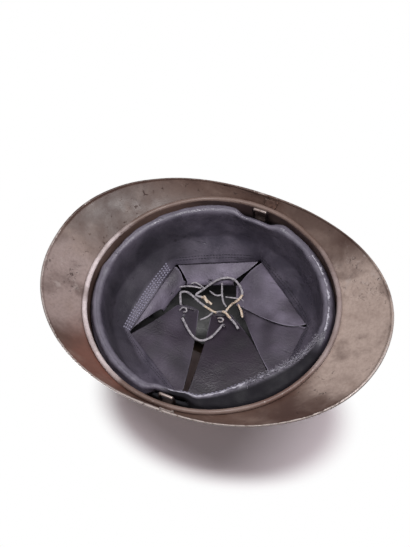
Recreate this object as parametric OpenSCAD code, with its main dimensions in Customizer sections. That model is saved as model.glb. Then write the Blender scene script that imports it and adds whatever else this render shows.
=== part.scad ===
// Crested steel helmet with a leather liner, as worn: +Z up through the crown,
// front towards -Y, wearer's left towards +X, resting on the brim's edge at Z = 0.
// Millimetres.

/* [Bowl] */
// Outside width of the bowl at its rim
bowl_w = 192; // [172:1:210]
// Outside length of the front half, from the widest section
bowl_front = 102; // [92:1:112]
// Outside length of the rear half, from the widest section
bowl_rear = 104; // [94:1:114]
// Height of the crown over the rim
bowl_h = 106; // [98:1:114]
// Fullness of the dome, where 2 is an ellipse
bowl_fullness = 2.05; // [1.95:0.05:2.2]
// Thickness of the steel sheet
sheet_t = 0.8; // [0.6:0.1:1]
// Outside radius of the rolled bead along the rim
bead_r = 2.1; // [1.9:0.1:2.4]
// Length of the vent slot under the crest
vent_len = 90; // [60:1:110]
// Width of the vent slot
vent_w = 9; // [6:0.5:10]

/* [Brim] */
// Reach of the visor past the bowl at the front
visor_reach = 38; // [28:1:48]
// Reach of the neck guard past the bowl at the rear
guard_reach = 46; // [34:1:56]
// Reach of the brim past the bowl at each side
side_reach = 10; // [9:0.5:14]
// Drop of the front and rear edges below the rim
tip_drop = 17; // [13:1:24]
// Drop of the side edges below the rim
side_drop = 8; // [6:0.5:10]
// Squareness of the visor's outline, where 2 is an ellipse
visor_square = 2.17; // [2:0.01:2.4]
// Squareness of the neck guard's outline
guard_square = 2.1; // [2:0.01:2.4]
// Radius of the hem along the outer edge
hem_r = 1.2; // [1:0.1:1.6]
// Height of the brim's collar over the rim
collar_h = 5; // [4:0.5:8]
// Length of the visor's end that laps under the neck guard
seam_lap = 8; // [5:0.5:11]

/* [Crest] */
// Height of the crest over the bowl
crest_h = 20; // [14:1:26]
// Width of the crest over its flanges
crest_w = 36; // [32:1:42]
// Angle up the dome at which the crest ends
crest_start = 40; // [34:1:48]
// Shank radius of a crest rivet
crest_rivet_r = 1.4; // [1.2:0.1:1.6]

/* [Chinstrap bails] */
// Distance of the bails behind the middle of the helmet
bail_y = 1; // [-4:1:4]
// Height of the bail's pivot over the rim
bail_pivot_h = 8; // [7.5:0.5:9]
// Length of the bail from its pivot to its lower bar
bail_drop = 12; // [11:0.5:14]
// Width of the bail's opening
bail_gap = 10; // [9.5:0.5:12]
// Radius of the bail's wire
wire_r = 1.2; // [1:0.1:1.3]
// Width of the clip's plate and knuckle
clip_w = 8; // [6:0.5:8.5]
// Height of the clip's rivet over the rim
clip_rivet_h = 14.5; // [14:0.5:16]
// Shank radius of the clip's rivet
clip_rivet_r = 1.5; // [1.2:0.1:1.7]

/* [Liner] */
// Thickness of the corrugated spacers over their waves
spacer_depth = 5; // [4:0.25:6]
// Height of the spacers
spacer_h = 20; // [16:1:22]
// Thickness of the felt band
felt_t = 3; // [2:0.25:4]
// Thickness of the leather
leather_t = 1.5; // [1.2:0.1:1.8]
// Radius of the headband's rolled lower edge
roll_r = 2; // [1.6:0.1:2.4]
// Height of the headband's rolled edge over the rim
band_low = 4.5; // [4:0.5:6]
// Height of the headband's upper edge over the rim
band_top = 50; // [46:1:54]
// Distance of the widest corners of the headband's upper edge in from the bowl's side
hexagon_in = 20; // [18:1:23]
// Distance by which the headband's edge has pulled off the shell at one side
band_pull = 10; // [0:1:12]
// Diameter of the lace
lace_d = 1.4; // [1:0.1:1.6]

/* [Hidden] */

// Clearance between pieces that seat on each other
seat = 0.3;
// Running clearance of a wire in its knuckle
run_gap = 0.05;
// Clearance of a rivet's heads over curved sheet
head_gap = 0.2;
// Depth of the cuts for bores and slots
cut = 12;
// Facets of turned shapes
$fn = 32;

rim_z = tip_drop + hem_r;
half_w = bowl_w / 2;
mid_y = (bowl_front + visor_reach - bowl_rear - guard_reach) / 2;
steel = "DarkOliveGreen";
leather = "DimGray";

// Signed power, for superellipses
function spow(v, e) = sign(v) * pow(abs(v), e);
function smooth(t) = let (c = min(1, max(0, t))) c * c * (3 - 2 * c);
function half_len(a) = sin(a) < 0 ? bowl_front : bowl_rear;
// Point on the bowl's plan, inset from its outside
function plan(a, inset) = [(half_w - inset) * cos(a), mid_y + (half_len(a) - inset) * sin(a)];
function plan_normal(a) = let (n = [cos(a) / half_w, sin(a) / half_len(a)]) n / norm(n);
// Point on the dome at an angle up from the rim, inset from its outside
function dome(a, up, inset) = let (k = pow(cos(up), 2 / bowl_fullness))
    [(half_w - inset) * cos(a) * k, mid_y + (half_len(a) - inset) * sin(a) * k,
     rim_z + (bowl_h - inset) * pow(sin(up), 2 / bowl_fullness)];
// Share of the rim's plan that the dome keeps at a height over the rim
function dome_share(h) = pow(1 - pow(max(0, h) / bowl_h, bowl_fullness), 1 / bowl_fullness);
// Point on the wall at a height over the rim, inset from its outside
function wall(a, h, inset) = let (k = dome_share(h))
    [(half_w * k - inset) * cos(a), mid_y + (half_len(a) * k - inset) * sin(a), rim_z + h];

// Tube of equal rings, each an outline that runs out along one side and back along the other
module loft(rings) {
    n = len(rings[0]);
    m = len(rings);
    end = (m - 1) * n;
    polyhedron(
        points = [for (r = rings) each r],
        faces = concat(
            [for (i = [0:m - 2], j = [0:n - 1]) let (k = (j + 1) % n)
                [i * n + j, i * n + k, (i + 1) * n + k]],
            [for (i = [0:m - 2], j = [0:n - 1]) let (k = (j + 1) % n)
                [i * n + j, (i + 1) * n + k, (i + 1) * n + j]],
            [for (j = [0:n / 2 - 2]) let (k = n - 1 - j) [j, k, k - 1]],
            [for (j = [0:n / 2 - 2]) let (k = n - 1 - j) [j, k - 1, j + 1]],
            [for (j = [0:n / 2 - 2]) let (k = n - 1 - j) [end + j, end + k - 1, end + k]],
            [for (j = [0:n / 2 - 2]) let (k = n - 1 - j) [end + j, end + j + 1, end + k - 1]]));
}

// Closed ring of equal loops, the last one joined to the first
module closed_loft(rings) {
    n = len(rings[0]);
    m = len(rings);
    polyhedron(
        points = [for (r = rings) each r],
        faces = concat(
            [for (i = [0:m - 1], j = [0:n - 1]) let (k = (j + 1) % n, h = (i + 1) % m)
                [i * n + j, i * n + k, h * n + k]],
            [for (i = [0:m - 1], j = [0:n - 1]) let (k = (j + 1) % n, h = (i + 1) % m)
                [i * n + j, h * n + k, h * n + j]]));
}

// Bowl
bowl_seg = 64;
dome_steps = 12;
roll_steps = 6;
roll_sweep = 200;
roll_c = bead_r - sheet_t;

function bead_point(a, turn, r) = let (p = plan(a, 0), n = plan_normal(a), u = roll_c + r * cos(turn))
    [p.x + n.x * u, p.y + n.y * u, rim_z + r * sin(turn)];
function bowl_column(a) = concat(
    [for (i = [dome_steps - 1:-1:0]) dome(a, 90 * i / dome_steps, 0)],
    [for (i = [1:roll_steps]) bead_point(a, 180 + roll_sweep * i / roll_steps, bead_r - sheet_t)],
    [for (i = [roll_steps:-1:1]) bead_point(a, 180 + roll_sweep * i / roll_steps, bead_r)],
    [for (i = [0:dome_steps - 1]) dome(a, 90 * i / dome_steps, sheet_t)]);

module bowl_shell() {
    columns = [for (i = [0:bowl_seg - 1]) bowl_column(360 * i / bowl_seg)];
    n = len(columns[0]);
    m = bowl_seg;
    polyhedron(
        points = concat([for (c = columns) each c],
            [[0, mid_y, rim_z + bowl_h], [0, mid_y, rim_z + bowl_h - sheet_t]]),
        faces = concat(
            [for (i = [0:m - 1], j = [0:n - 2]) let (h = (i + 1) % m)
                [i * n + j, h * n + j + 1, i * n + j + 1]],
            [for (i = [0:m - 1], j = [0:n - 2]) let (h = (i + 1) % m)
                [i * n + j, h * n + j, h * n + j + 1]],
            [for (i = [0:m - 1]) let (h = (i + 1) % m) [m * n, h * n, i * n]],
            [for (i = [0:m - 1]) let (h = (i + 1) % m)
                [m * n + 1, i * n + n - 1, h * n + n - 1]]));
}

module bowl() {
    color(steel) difference() {
        bowl_shell();
        vent_slot();
        crest_rivet_places() cylinder(r = crest_rivet_r + run_gap, h = cut, center = true);
        for (side = [-1, 1]) clip_rivet_place(side)
            cylinder(r = clip_rivet_r + run_gap, h = cut, center = true);
    }
}

module vent_slot() {
    straight = vent_len - vent_w;
    translate([0, mid_y, rim_z + bowl_h - cut]) {
        translate([-vent_w / 2, -straight / 2, 0]) cube([vent_w, straight, 2 * cut]);
        for (end = [-1, 1]) translate([0, end * straight / 2, 0]) cylinder(d = vent_w, h = 2 * cut);
    }
}

// Brim
seam_a = asin(-mid_y / bowl_rear);
brim_step = 5.5;
collar_bend = 0.7;
shoulder_run = 0.5;
shoulder_u = 2 * bead_r - sheet_t + seat + sheet_t / 2;
shoulder_w = bead_r * sin(roll_sweep - 180) + seat + sheet_t;
lap_a = seam_lap / half_len(90) * 180 / PI;
lap_gap = 0.6;
lap_from = 0.12;
lap_to = 0.75;
notch_a = 2.2;

function edge(a) = let (n = sin(a) < 0 ? visor_square : guard_square,
    reach = sin(a) < 0 ? bowl_front + visor_reach : bowl_rear + guard_reach)
    [(half_w + side_reach) * spow(cos(a), 2 / n), mid_y + reach * spow(sin(a), 2 / n)];
function drop(a) = side_drop + (tip_drop - side_drop) * pow(sin(a), 2);
// Point at a distance out from the bowl towards the brim's edge and a height over the rim
function brim_point(a, q) = let (p = plan(a, 0), e = (edge(a) - p) / norm(edge(a) - p))
    [p.x + e.x * q.x, p.y + e.y * q.x, rim_z + q.y];
// Middle of the sheet between the shoulder and the hem
function slope_point(a, s) = let (end = norm(edge(a) - plan(a, 0)) - hem_r)
    [shoulder_u + shoulder_run + (end - shoulder_u - shoulder_run) * s,
     shoulder_w - shoulder_run + (-drop(a) - shoulder_w + shoulder_run) * (0.8 + 0.2 * s) * s];
function brim_line(a) = let (u = seat + sheet_t / 2) [
    [u, collar_h], [u, shoulder_w + 2 * collar_bend], [u + collar_bend, shoulder_w + collar_bend / 2],
    [shoulder_u - shoulder_run, shoulder_w], slope_point(a, 0), slope_point(a, 0.33),
    slope_point(a, 0.67), slope_point(a, 1)];
// The brim with its collar drawn back to the shoulder, then to the slope
function shoulder_line(a) = concat(
    [for (k = [1.4, 1.2, 1, 0.6]) [shoulder_u - shoulder_run * k, shoulder_w]],
    [for (s = [0, 0.33, 0.67, 1]) slope_point(a, s)]);
function bare_line(a) = [for (i = [0:7]) slope_point(a, 0.04 + 0.96 * i / 7)];
// The visor's end, set under the neck guard's sheet
function lap_line(a) = let (d = slope_point(a, lap_to) - slope_point(a, lap_from),
    n = [d.y, -d.x] / norm(d)) [for (i = [0:7])
    slope_point(a, lap_from + (lap_to - lap_from) * i / 7) + n * (sheet_t + lap_gap)];
// Cross-section round a line of the sheet, ending in a round edge of radius r
function sheet_ring(line, r) = let (m = len(line),
    dirs = [for (i = [0:m - 1]) let (d = line[min(m - 1, i + 1)] - line[max(0, i - 1)]) d / norm(d)],
    last = dirs[m - 1], heading = atan2(last.y, last.x), lip = asin(min(1, sheet_t / 2 / r)))
    concat(
        [for (i = [0:m - 2]) line[i] + [-dirs[i].y, dirs[i].x] * sheet_t / 2],
        [for (i = [0:7]) let (t = heading + 180 - lip - (360 - 2 * lip) * i / 7)
            line[m - 1] + r * [cos(t), sin(t)]],
        [for (i = [m - 2:-1:0]) line[i] - [-dirs[i].y, dirs[i].x] * sheet_t / 2]);
function brim_ring(a, line, r) = [for (q = sheet_ring(line, r)) brim_point(a, q)];
function full_ring(a) = brim_ring(a, brim_line(a), hem_r);
function shoulder_ring(a) = brim_ring(a, shoulder_line(a), hem_r);
function bare_ring(a) = brim_ring(a, bare_line(a), hem_r);
function lap_ring(a) = brim_ring(a, lap_line(a), sheet_t / 2 + 0.02);

module visor() {
    first = 180 - seam_a + notch_a;
    last = 360 + seam_a - notch_a;
    count = round((last - first) / brim_step);
    color("SaddleBrown") loft(concat(
        [for (t = [1, 0.5, 0]) lap_ring(seam_a - 0.4 + (lap_a + 0.4) * t)],
        [bare_ring(last - 360 + notch_a * 0.6), shoulder_ring(last - 360 + notch_a * 0.3)],
        [for (i = [count:-1:0]) full_ring(first + (last - first) * i / count)],
        [shoulder_ring(first - notch_a * 0.3), bare_ring(first - notch_a * 0.6)],
        [for (t = [0, 0.5, 1]) lap_ring(180 - seam_a + 0.4 - (lap_a + 0.4) * t)]));
}

module neck_guard() {
    first = seam_a + 0.2;
    last = 180 - seam_a - 0.2;
    count = round((last - first) / brim_step);
    color("Peru") loft([for (i = [count:-1:0]) full_ring(first + (last - first) * i / count)]);
}

// Crest, on a path over the crown from the front (start) to the rear (180 - start)
crest_steps = 22;
flange = 5.5;
crest_rivet_a = 24;
crest_head_r = 2.3;

function ridge(t) = let (b = t < 90 ? -bowl_front : bowl_rear)
    [mid_y + b * pow(abs(cos(t)), 2 / bowl_fullness), rim_z + bowl_h * pow(sin(t), 2 / bowl_fullness)];
function ridge_normal(t) = let (d = ridge(t + 0.5) - ridge(t - 0.5)) [-d.y, d.x] / norm(d);
// Height of the bowl's outside over a point of the plan
function bowl_top(x, y) = let (b = y < mid_y ? bowl_front : bowl_rear,
    k = sqrt(pow(x / half_w, 2) + pow((y - mid_y) / b, 2)))
    rim_z + bowl_h * pow(1 - pow(k, bowl_fullness), 1 / bowl_fullness);
function crest_point(t, x, h) = let (p = ridge(t), n = ridge_normal(t))
    [x, p.x + n.x * h, p.y + n.y * h + bowl_top(x, p.x) - bowl_top(0, p.x)];
function crest_ring(t) = let (
    s = (t - 90) / (90 - crest_start),
    rise = (crest_h - sheet_t - seat) * (1 - pow(abs(s), 5)),
    w = crest_w / 2 * (1 - 0.35 * pow(abs(s), 8)), f = w - flange,
    outer = [[w, 0], [f, 0], [f * 0.62, 0.2], [f * 0.42, 0.6], [f * 0.33, 0.92], [f * 0.14, 1]],
    inner = [[w, 0], [f - 0.3, 0], [f * 0.62 - 0.6, 0.18], [f * 0.42 - 0.8, 0.57],
        [f * 0.33 - 0.8, 0.9], [f * 0.14 - 0.3, 0.985]])
    concat(
        [for (q = outer) crest_point(t, q.x, seat + sheet_t + rise * q.y)],
        [for (i = [5:-1:0]) crest_point(t, -outer[i].x, seat + sheet_t + rise * outer[i].y)],
        [for (q = inner) crest_point(t, -q.x, seat + rise * q.y)],
        [for (i = [5:-1:0]) crest_point(t, inner[i].x, seat + rise * inner[i].y)]);

module crest() {
    color("OliveDrab") difference() {
        loft([for (i = [0:crest_steps])
            crest_ring(crest_start + (180 - 2 * crest_start) * i / crest_steps)]);
        crest_rivet_places() cylinder(r = crest_rivet_r + run_gap, h = cut, center = true);
    }
}

// Frame at each of the four crest rivets: origin on the bowl, +Z along its normal
module crest_rivet_places() {
    for (t = [90 - crest_rivet_a, 90 + crest_rivet_a], side = [-1, 1]) {
        x = side * (crest_w / 2 - flange / 2);
        y = ridge(t).x;
        b = y < mid_y ? bowl_front : bowl_rear;
        k = pow(x / half_w, 2) + pow((y - mid_y) / b, 2);
        g = pow(k, bowl_fullness / 2 - 1);
        z = bowl_top(x, y);
        n = [g * x / pow(half_w, 2), g * (y - mid_y) / pow(b, 2),
             pow((z - rim_z) / bowl_h, bowl_fullness - 1) / bowl_h];
        translate([x, y, z]) rotate([0, acos(n.z / norm(n)), atan2(n.y, n.x)]) children();
    }
}

// Rivet with a domed head above the height grip and a clinched head under the height under
module rivet(r, grip, under, head) {
    clinch = 0.7;
    translate([0, 0, under - clinch]) cylinder(r = r, h = grip - under + clinch + 0.3);
    translate([0, 0, under - clinch]) cylinder(r = head * 0.85, h = clinch);
    translate([0, 0, grip]) rotate_extrude() intersection() {
        translate([0, -head / 2]) circle(r = head * 1.1);
        square([head, head]);
    }
}

module crest_rivets() {
    color("DarkKhaki") crest_rivet_places()
        rivet(crest_rivet_r, seat + sheet_t + head_gap, -sheet_t - 2 * head_gap, crest_head_r);
}

// Bail clips and bails; side is 1 for the wearer's left and -1 for the right
clip_t = 0.8;
clip_over = 3.5;
clip_gap = 0.15;
clip_head_r = 2.6;
knuckle_r = wire_r + run_gap + clip_t;
// Outer face of the clip's plate, clear of the wall where the plate's top corner meets it
clip_x = wall(asin((bail_y + clip_w / 2 - mid_y) / bowl_rear), clip_rivet_h + clip_over, sheet_t).x
    - seat - clip_gap;
bail_x = clip_x - knuckle_r;
bail_z = rim_z + bail_pivot_h;
bail_bend = wire_r + 0.8;

// Frame at a clip's rivet: origin on the bowl's outside, +Z outwards
module clip_rivet_place(side) {
    x = wall(asin((bail_y - mid_y) / bowl_rear), clip_rivet_h, 0).x;
    translate([side * x, bail_y, rim_z + clip_rivet_h]) rotate([0, side * 90, 0]) children();
}

module bail_clip(side) {
    top = clip_rivet_h + clip_over - bail_pivot_h;
    color("Silver") mirror([side < 0 ? 1 : 0, 0, 0]) difference() {
        union() {
            translate([bail_x, bail_y, bail_z]) rotate([90, 0, 0])
                cylinder(r = knuckle_r, h = clip_w, center = true);
            translate([clip_x - clip_t, bail_y - clip_w / 2, bail_z]) cube([clip_t, clip_w, top]);
        }
        translate([bail_x, bail_y, bail_z]) rotate([90, 0, 0])
            cylinder(r = wire_r + run_gap, h = clip_w + 2, center = true);
        clip_rivet_place(1) cylinder(r = clip_rivet_r + run_gap, h = cut, center = true);
    }
}

module bail(side) {
    half = bail_gap / 2 + wire_r - bail_bend;
    leg = bail_drop - 2 * bail_bend;
    color("LightSteelBlue") mirror([side < 0 ? 1 : 0, 0, 0])
        translate([bail_x, bail_y, bail_z]) for (end = [0, 1]) {
            translate([0, 0, -end * bail_drop]) rotate([90, 0, 0])
                cylinder(r = wire_r, h = 2 * half, center = true);
            mirror([0, end, 0]) translate([0, half + bail_bend, -bail_bend - leg])
                cylinder(r = wire_r, h = leg);
            for (low = [0, 1]) mirror([0, end, 0])
                translate([0, half, low ? -bail_drop + bail_bend : -bail_bend])
                    rotate([0, low ? 90 : -90, 0])
                        rotate_extrude(angle = 90) translate([bail_bend, 0]) circle(r = wire_r);
        }
}

module bail_rivets() {
    inner = clip_x - clip_t - wall(asin((bail_y - mid_y) / bowl_rear), clip_rivet_h, 0).x;
    color("Gainsboro") for (side = [-1, 1]) clip_rivet_place(side)
        rivet(clip_rivet_r, head_gap, inner - head_gap, clip_head_r);
}

// Liner; liner_gap keeps it off the flat facets of the bowl, tab_gap off the felt's
liner_gap = 0.6;
tab_gap = 0.7;
spacer_low = 11;
spacer_a = 45;
spacer_span = 32;
spacer_seg = 40;
waves = 7;
foil = 0.5;
felt_seg = 60;
felt_low = spacer_low;
felt_inset = sheet_t + liner_gap + spacer_depth + seat;
tab_t = 0.6;
tab_w = 8;
tab_up = 10;
tab_down = 5;
band_inset = felt_inset + felt_t + tab_gap + tab_t + seat + leather_t / 2;
band_seg = 72;

// Corrugated strip between the bowl and the felt, centred on a plan angle
module spacer(middle) {
    wave = (spacer_depth - foil) / 2;
    color("Gray") loft([for (i = [0:spacer_seg]) let (
        a = middle + spacer_span * (i / spacer_seg - 0.5),
        c = sheet_t + liner_gap + foil / 2 + wave * (1 - cos(360 * waves * i / spacer_seg)))
        [wall(a, spacer_low, c - foil / 2), wall(a, spacer_low + spacer_h, c - foil / 2),
         wall(a, spacer_low + spacer_h, c + foil / 2), wall(a, spacer_low, c + foil / 2)]]);
}

module felt_band() {
    color("DarkSlateGray") closed_loft([for (i = [0:felt_seg - 1]) let (a = 360 * i / felt_seg)
        [wall(a, felt_low, felt_inset), wall(a, felt_low + spacer_h, felt_inset),
         wall(a, felt_low + spacer_h, felt_inset + felt_t), wall(a, felt_low, felt_inset + felt_t)]]);
}

// Tab that hangs the liner on the bowl over a spacer's middle
module tab(middle) {
    top = spacer_low + spacer_h;
    span = tab_w / half_w * 180 / PI;
    outer = sheet_t + liner_gap;
    inner = felt_inset + felt_t + tab_gap;
    color("Gainsboro") loft([for (i = [0:3]) let (a = middle + span * (i / 3 - 0.5)) [
        wall(a, top + tab_up, outer + tab_t), wall(a, top + seat + tab_t, outer + tab_t),
        wall(a, top + seat + tab_t, inner + tab_t), wall(a, top - tab_down, inner + tab_t),
        wall(a, top - tab_down, inner), wall(a, top + seat, inner),
        wall(a, top + seat, outer), wall(a, top + tab_up, outer)]]);
}

// Headband: a sheet of leather, rolled at its lower edge and drawn in to six corners at the top.
// Rows: direction of a corner from the middle, share of hexagon_r
CORNERS = [[6, 1], [66, 1], [116, 0.98], [180, 0.93], [246, 1], [306, 1]];
hexagon_c = [0, -3];
hexagon_r = half_w - hexagon_in;
band_turn_h = 34;
pull_middle = 130;
pull_half = 52;

function across(p, q) = p.x * q.y - p.y * q.x;
function corner(k) = let (c = CORNERS[k % 6])
    hexagon_c + hexagon_r * c[1] * [cos(c[0]), sin(c[0])];
// Point of the upper edge in the direction of a plan angle
function hexagon_point(a) = let (d = plan(a, band_inset) - hexagon_c, v = d / norm(d))
    hexagon_c + v * min([for (k = [0:5])
        let (e = corner(k + 1) - corner(k), t = across(corner(k) - hexagon_c, e) / across(v, e))
        if (t > 0) t]);
// Share of the pull at a plan angle
function pulled(a) = abs(a - pull_middle) < pull_half
    ? pow(cos((a - pull_middle) * 90 / pull_half), 2) : 0;
function band_line(a) = let (far = norm(hexagon_point(a) - plan(a, 0)))
    [for (h = [band_top, band_top - 6, band_turn_h + 2, band_turn_h - 7, 14, band_low]) let (
        own = half_w * (1 - dome_share(h)) + band_inset,
        loose = band_pull * pulled(a) * smooth((band_turn_h - h) / 20),
        in = pow(max(0, (h - band_turn_h + 4) / (band_top - band_turn_h + 4)), 1.4))
        [own + loose + (far - own) * in - (h == band_low ? 0.9 : 0), h]];
function band_ring(a) = let (p = plan(a, 0), e = (hexagon_point(a) - p) / norm(hexagon_point(a) - p))
    [for (q = sheet_ring(band_line(a), roll_r)) [p.x + e.x * q.x, p.y + e.y * q.x, rim_z + q.y]];

module headband() {
    color(leather) closed_loft([for (i = [0:band_seg - 1]) band_ring(360 * i / band_seg)]);
}

// Tongues: each is sewn behind one side of the headband's upper edge, and the lace gathers them.
// Their places and the lace's are given for a hexagon of radius 76 and a band 50 high; fit and
// lift carry them to the sizes above.
// Rows: the two corners of the tip, the tip's height over the rim, the angle by which the tip
// is tucked under, and the bellies of the two long edges
TONGUES = [
    [[49, -6], [31, 2], 57, 20, 0, 14],
    [[30, 7], [22, 12], 58, 40, -12, 2],
    [[19, 0], [12, -16], 58, 20, 4, -3],
    [[10, -28], [8, -49], 57, 20, 4, -6],
    [[3, -61], [36, -54], 57, 70, 0, 2],
    [[37, -50], [53, -12], 57, 80, -2, 3]];
fit = hexagon_r / 76;
lift = band_top / 50;
tongue_slit = 1.5;
tongue_back = 1.3;
tongue_lap = 4;
tongue_across = 7;
tongue_along = 8;
tongue_bulge = 0.12;
tongue_bulge_most = 4;
tongue_curl = 1.5;
tuck_r = 5;
tuck_rows = 3;
punch_r = 1.6;

// Middle of the leather of tongue n at row i and column j
function tongue_mid(n, i, j) = let (
    row = TONGUES[n], tip_a = fit * row[0], tip_b = fit * row[1], tip_h = lift * row[2],
    e = corner(n + 1) - corner(n), side = e / norm(e),
    back = tongue_back * [side.y, -side.x],
    root_a = corner(n) + side * tongue_slit + back,
    root_b = corner(n + 1) - side * tongue_slit + back,
    run = (tip_a + tip_b - root_a - root_b) / 2, d = norm(run),
    w = j / tongue_across, u = 2 * w - 1,
    v = max(0, min(1, (i - 1) / (tongue_along - 1))),
    root_h = band_top + 1.4, bulge = min(tongue_bulge_most, d * tongue_bulge),
    lead = atan((tip_h - root_h + bulge * PI) / d),
    t = lead + row[3] * max(0, i - tongue_along) / tuck_rows,
    p = (root_a * (1 - w) + root_b * w) * (1 - v) + (tip_a * (1 - w) + tip_b * w) * v
        + side * fit * (row[5] * w - row[4] * (1 - w)) * sin(180 * v)
        + (i == 0 ? back / tongue_back * tongue_lap : run / d * tuck_r * (sin(t) - sin(lead))),
    h = i == 0 ? root_h - tongue_lap
        : root_h + (tip_h - root_h) * v - bulge * sin(180 * v) + tuck_r * (cos(lead) - cos(t)))
    concat(p, [rim_z + h + tongue_curl * u * u * v]);
// Normal of the leather there, towards the crown
function tongue_normal(n, i, j) = let (rows = tongue_along + tuck_rows,
    a = tongue_mid(n, min(rows, i + 1), j) - tongue_mid(n, max(0, i - 1), j),
    b = tongue_mid(n, i, min(tongue_across, j + 1)) - tongue_mid(n, i, max(0, j - 1)),
    c = cross(a, b)) c / norm(c);
function tongue_face(n, lift) = [for (i = [0:tongue_along + tuck_rows], j = [0:tongue_across])
    tongue_mid(n, i, j) + tongue_normal(n, i, j) * lift];

module tongue(n) {
    hole = tongue_mid(n, tongue_along - 1, tongue_across / 2);
    axis = tongue_normal(n, tongue_along - 1, tongue_across / 2);
    color("SlateGray") difference() {
        tongue_sheet(n);
        translate(hole) rotate([0, acos(axis.z), atan2(axis.y, axis.x)])
            cylinder(r = punch_r, h = 6, center = true);
    }
}

module tongue_sheet(n) {
    rows = tongue_along + tuck_rows + 1;
    cols = tongue_across + 1;
    all = rows * cols;
    rim = concat([for (j = [0:cols - 1]) j], [for (i = [1:rows - 1]) i * cols + cols - 1],
        [for (j = [cols - 2:-1:0]) (rows - 1) * cols + j], [for (i = [rows - 2:-1:1]) i * cols]);
    polyhedron(
        points = concat(tongue_face(n, leather_t / 2), tongue_face(n, -leather_t / 2)),
        faces = concat(
            [for (i = [0:rows - 2], j = [0:cols - 2])
                [i * cols + j, i * cols + j + 1, (i + 1) * cols + j + 1]],
            [for (i = [0:rows - 2], j = [0:cols - 2])
                [i * cols + j, (i + 1) * cols + j + 1, (i + 1) * cols + j]],
            [for (i = [0:rows - 2], j = [0:cols - 2])
                [all + i * cols + j, all + (i + 1) * cols + j + 1, all + i * cols + j + 1]],
            [for (i = [0:rows - 2], j = [0:cols - 2])
                [all + i * cols + j, all + (i + 1) * cols + j, all + (i + 1) * cols + j + 1]],
            [for (q = [0:len(rim) - 1]) let (a = rim[q], b = rim[(q + 1) % len(rim)])
                [b, a, all + a]],
            [for (q = [0:len(rim) - 1]) let (a = rim[q], b = rim[(q + 1) % len(rim)])
                [b, all + a, all + b]]));
}

// Lace: places along it, from its cream end, over the tips and through two of the holes.
// Rows: the two distances on the plan, and the height over the brim's edge with the rim at 18.2
LACE = [[26, -22, 82], [28.5, -30.5, 80], [28.5, -38, 79.5], [35.5, -34.5, 79], [42, -29.5, 76.5],
    [47, -23.5, 73], [51, -16.5, 72], [50.5, -9.5, 71.5], [45.5, -2, 71], [40, 2, 71.5],
    [35, 1, 73], [32, -2, 75.5], [30.5, -5, 79], [25, -7, 80.5], [18.5, -7.5, 79.5],
    [11.5, -4, 79], [6.5, -1, 76.5], [6.5, -1, 73.5], [6, -1.5, 71], [0, -2.5, 70],
    [-8.5, -5, 69.5], [-14.5, -11, 69.5], [-14.5, -18, 69.5], [-10.5, -25, 69], [-6, -30.5, 69.5],
    [-1.5, -35.5, 70], [-1, -36.5, 72.5], [-1, -37, 75.5], [4.5, -40.5, 79], [12.5, -45, 79.5],
    [21, -50, 79.5], [26, -51.5, 79], [28, -47, 79], [27, -41.5, 79.5], [22.5, -29.5, 80.5],
    [18.5, -16, 78.5], [19, -10.5, 75.5], [18.5, -5, 72], [14.5, 2, 71], [11, 8, 70.5], [7, 13, 70]];

function lace_place(i) = let (p = LACE[max(0, min(len(LACE) - 1, i))])
    [fit * p.x, fit * p.y, rim_z + lift * (p.z - 18.2)];
// Point of the lace at a share t of the way from place i to the next
function lace_at(i, t) = let (
    a = lace_place(i - 1), b = lace_place(i), c = lace_place(i + 1), d = lace_place(i + 2))
    (2 * b + (c - a) * t + (2 * a - 5 * b + 4 * c - d) * t * t
        + (3 * b - a - 3 * c + d) * t * t * t) / 2;
function lace_heading(p, i) = let (d = p[min(len(p) - 1, i + 1)] - p[max(0, i - 1)]) d / norm(d);
// Side directions of the rings, each carried on from the one before it
function lace_sides(p, i, side) = i == len(p) ? [] : let (d = lace_heading(p, i),
    s = side - d * (side * d), k = s / norm(s)) concat([k], lace_sides(p, i + 1, k));

module lace() {
    path = concat([for (i = [0:len(LACE) - 2], t = [0, 0.5]) lace_at(i, t)],
        [lace_place(len(LACE) - 1)]);
    sides = lace_sides(path, 0, [0, 0, 1]);
    color("Wheat") loft([for (i = [0:len(path) - 1])
        let (s = sides[i], w = cross(lace_heading(path, i), s))
        [for (t = [0:45:315]) path[i] + lace_d / 2 * (w * cos(t) + s * sin(t))]]);
}

bowl();
visor();
neck_guard();
crest();
crest_rivets();
bail_clip(1);  // bail_clip_left
bail_clip(-1);  // bail_clip_right
bail(1);  // bail_left
bail(-1);  // bail_right
bail_rivets();
spacer(spacer_a);  // spacer_rear_left
spacer(180 - spacer_a);  // spacer_rear_right
spacer(180 + spacer_a);  // spacer_front_right
spacer(360 - spacer_a);  // spacer_front_left
tab(spacer_a);  // tab_rear_left
tab(180 - spacer_a);  // tab_rear_right
tab(180 + spacer_a);  // tab_front_right
tab(360 - spacer_a);  // tab_front_left
felt_band();
headband();
tongue(0);  // tongue_rear_left
tongue(1);  // tongue_rear
tongue(2);  // tongue_rear_right
tongue(3);  // tongue_front_right
tongue(4);  // tongue_front
tongue(5);  // tongue_front_left
lace();
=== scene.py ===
import math

import bpy
import numpy as np
from mathutils import Matrix, Vector


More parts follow.
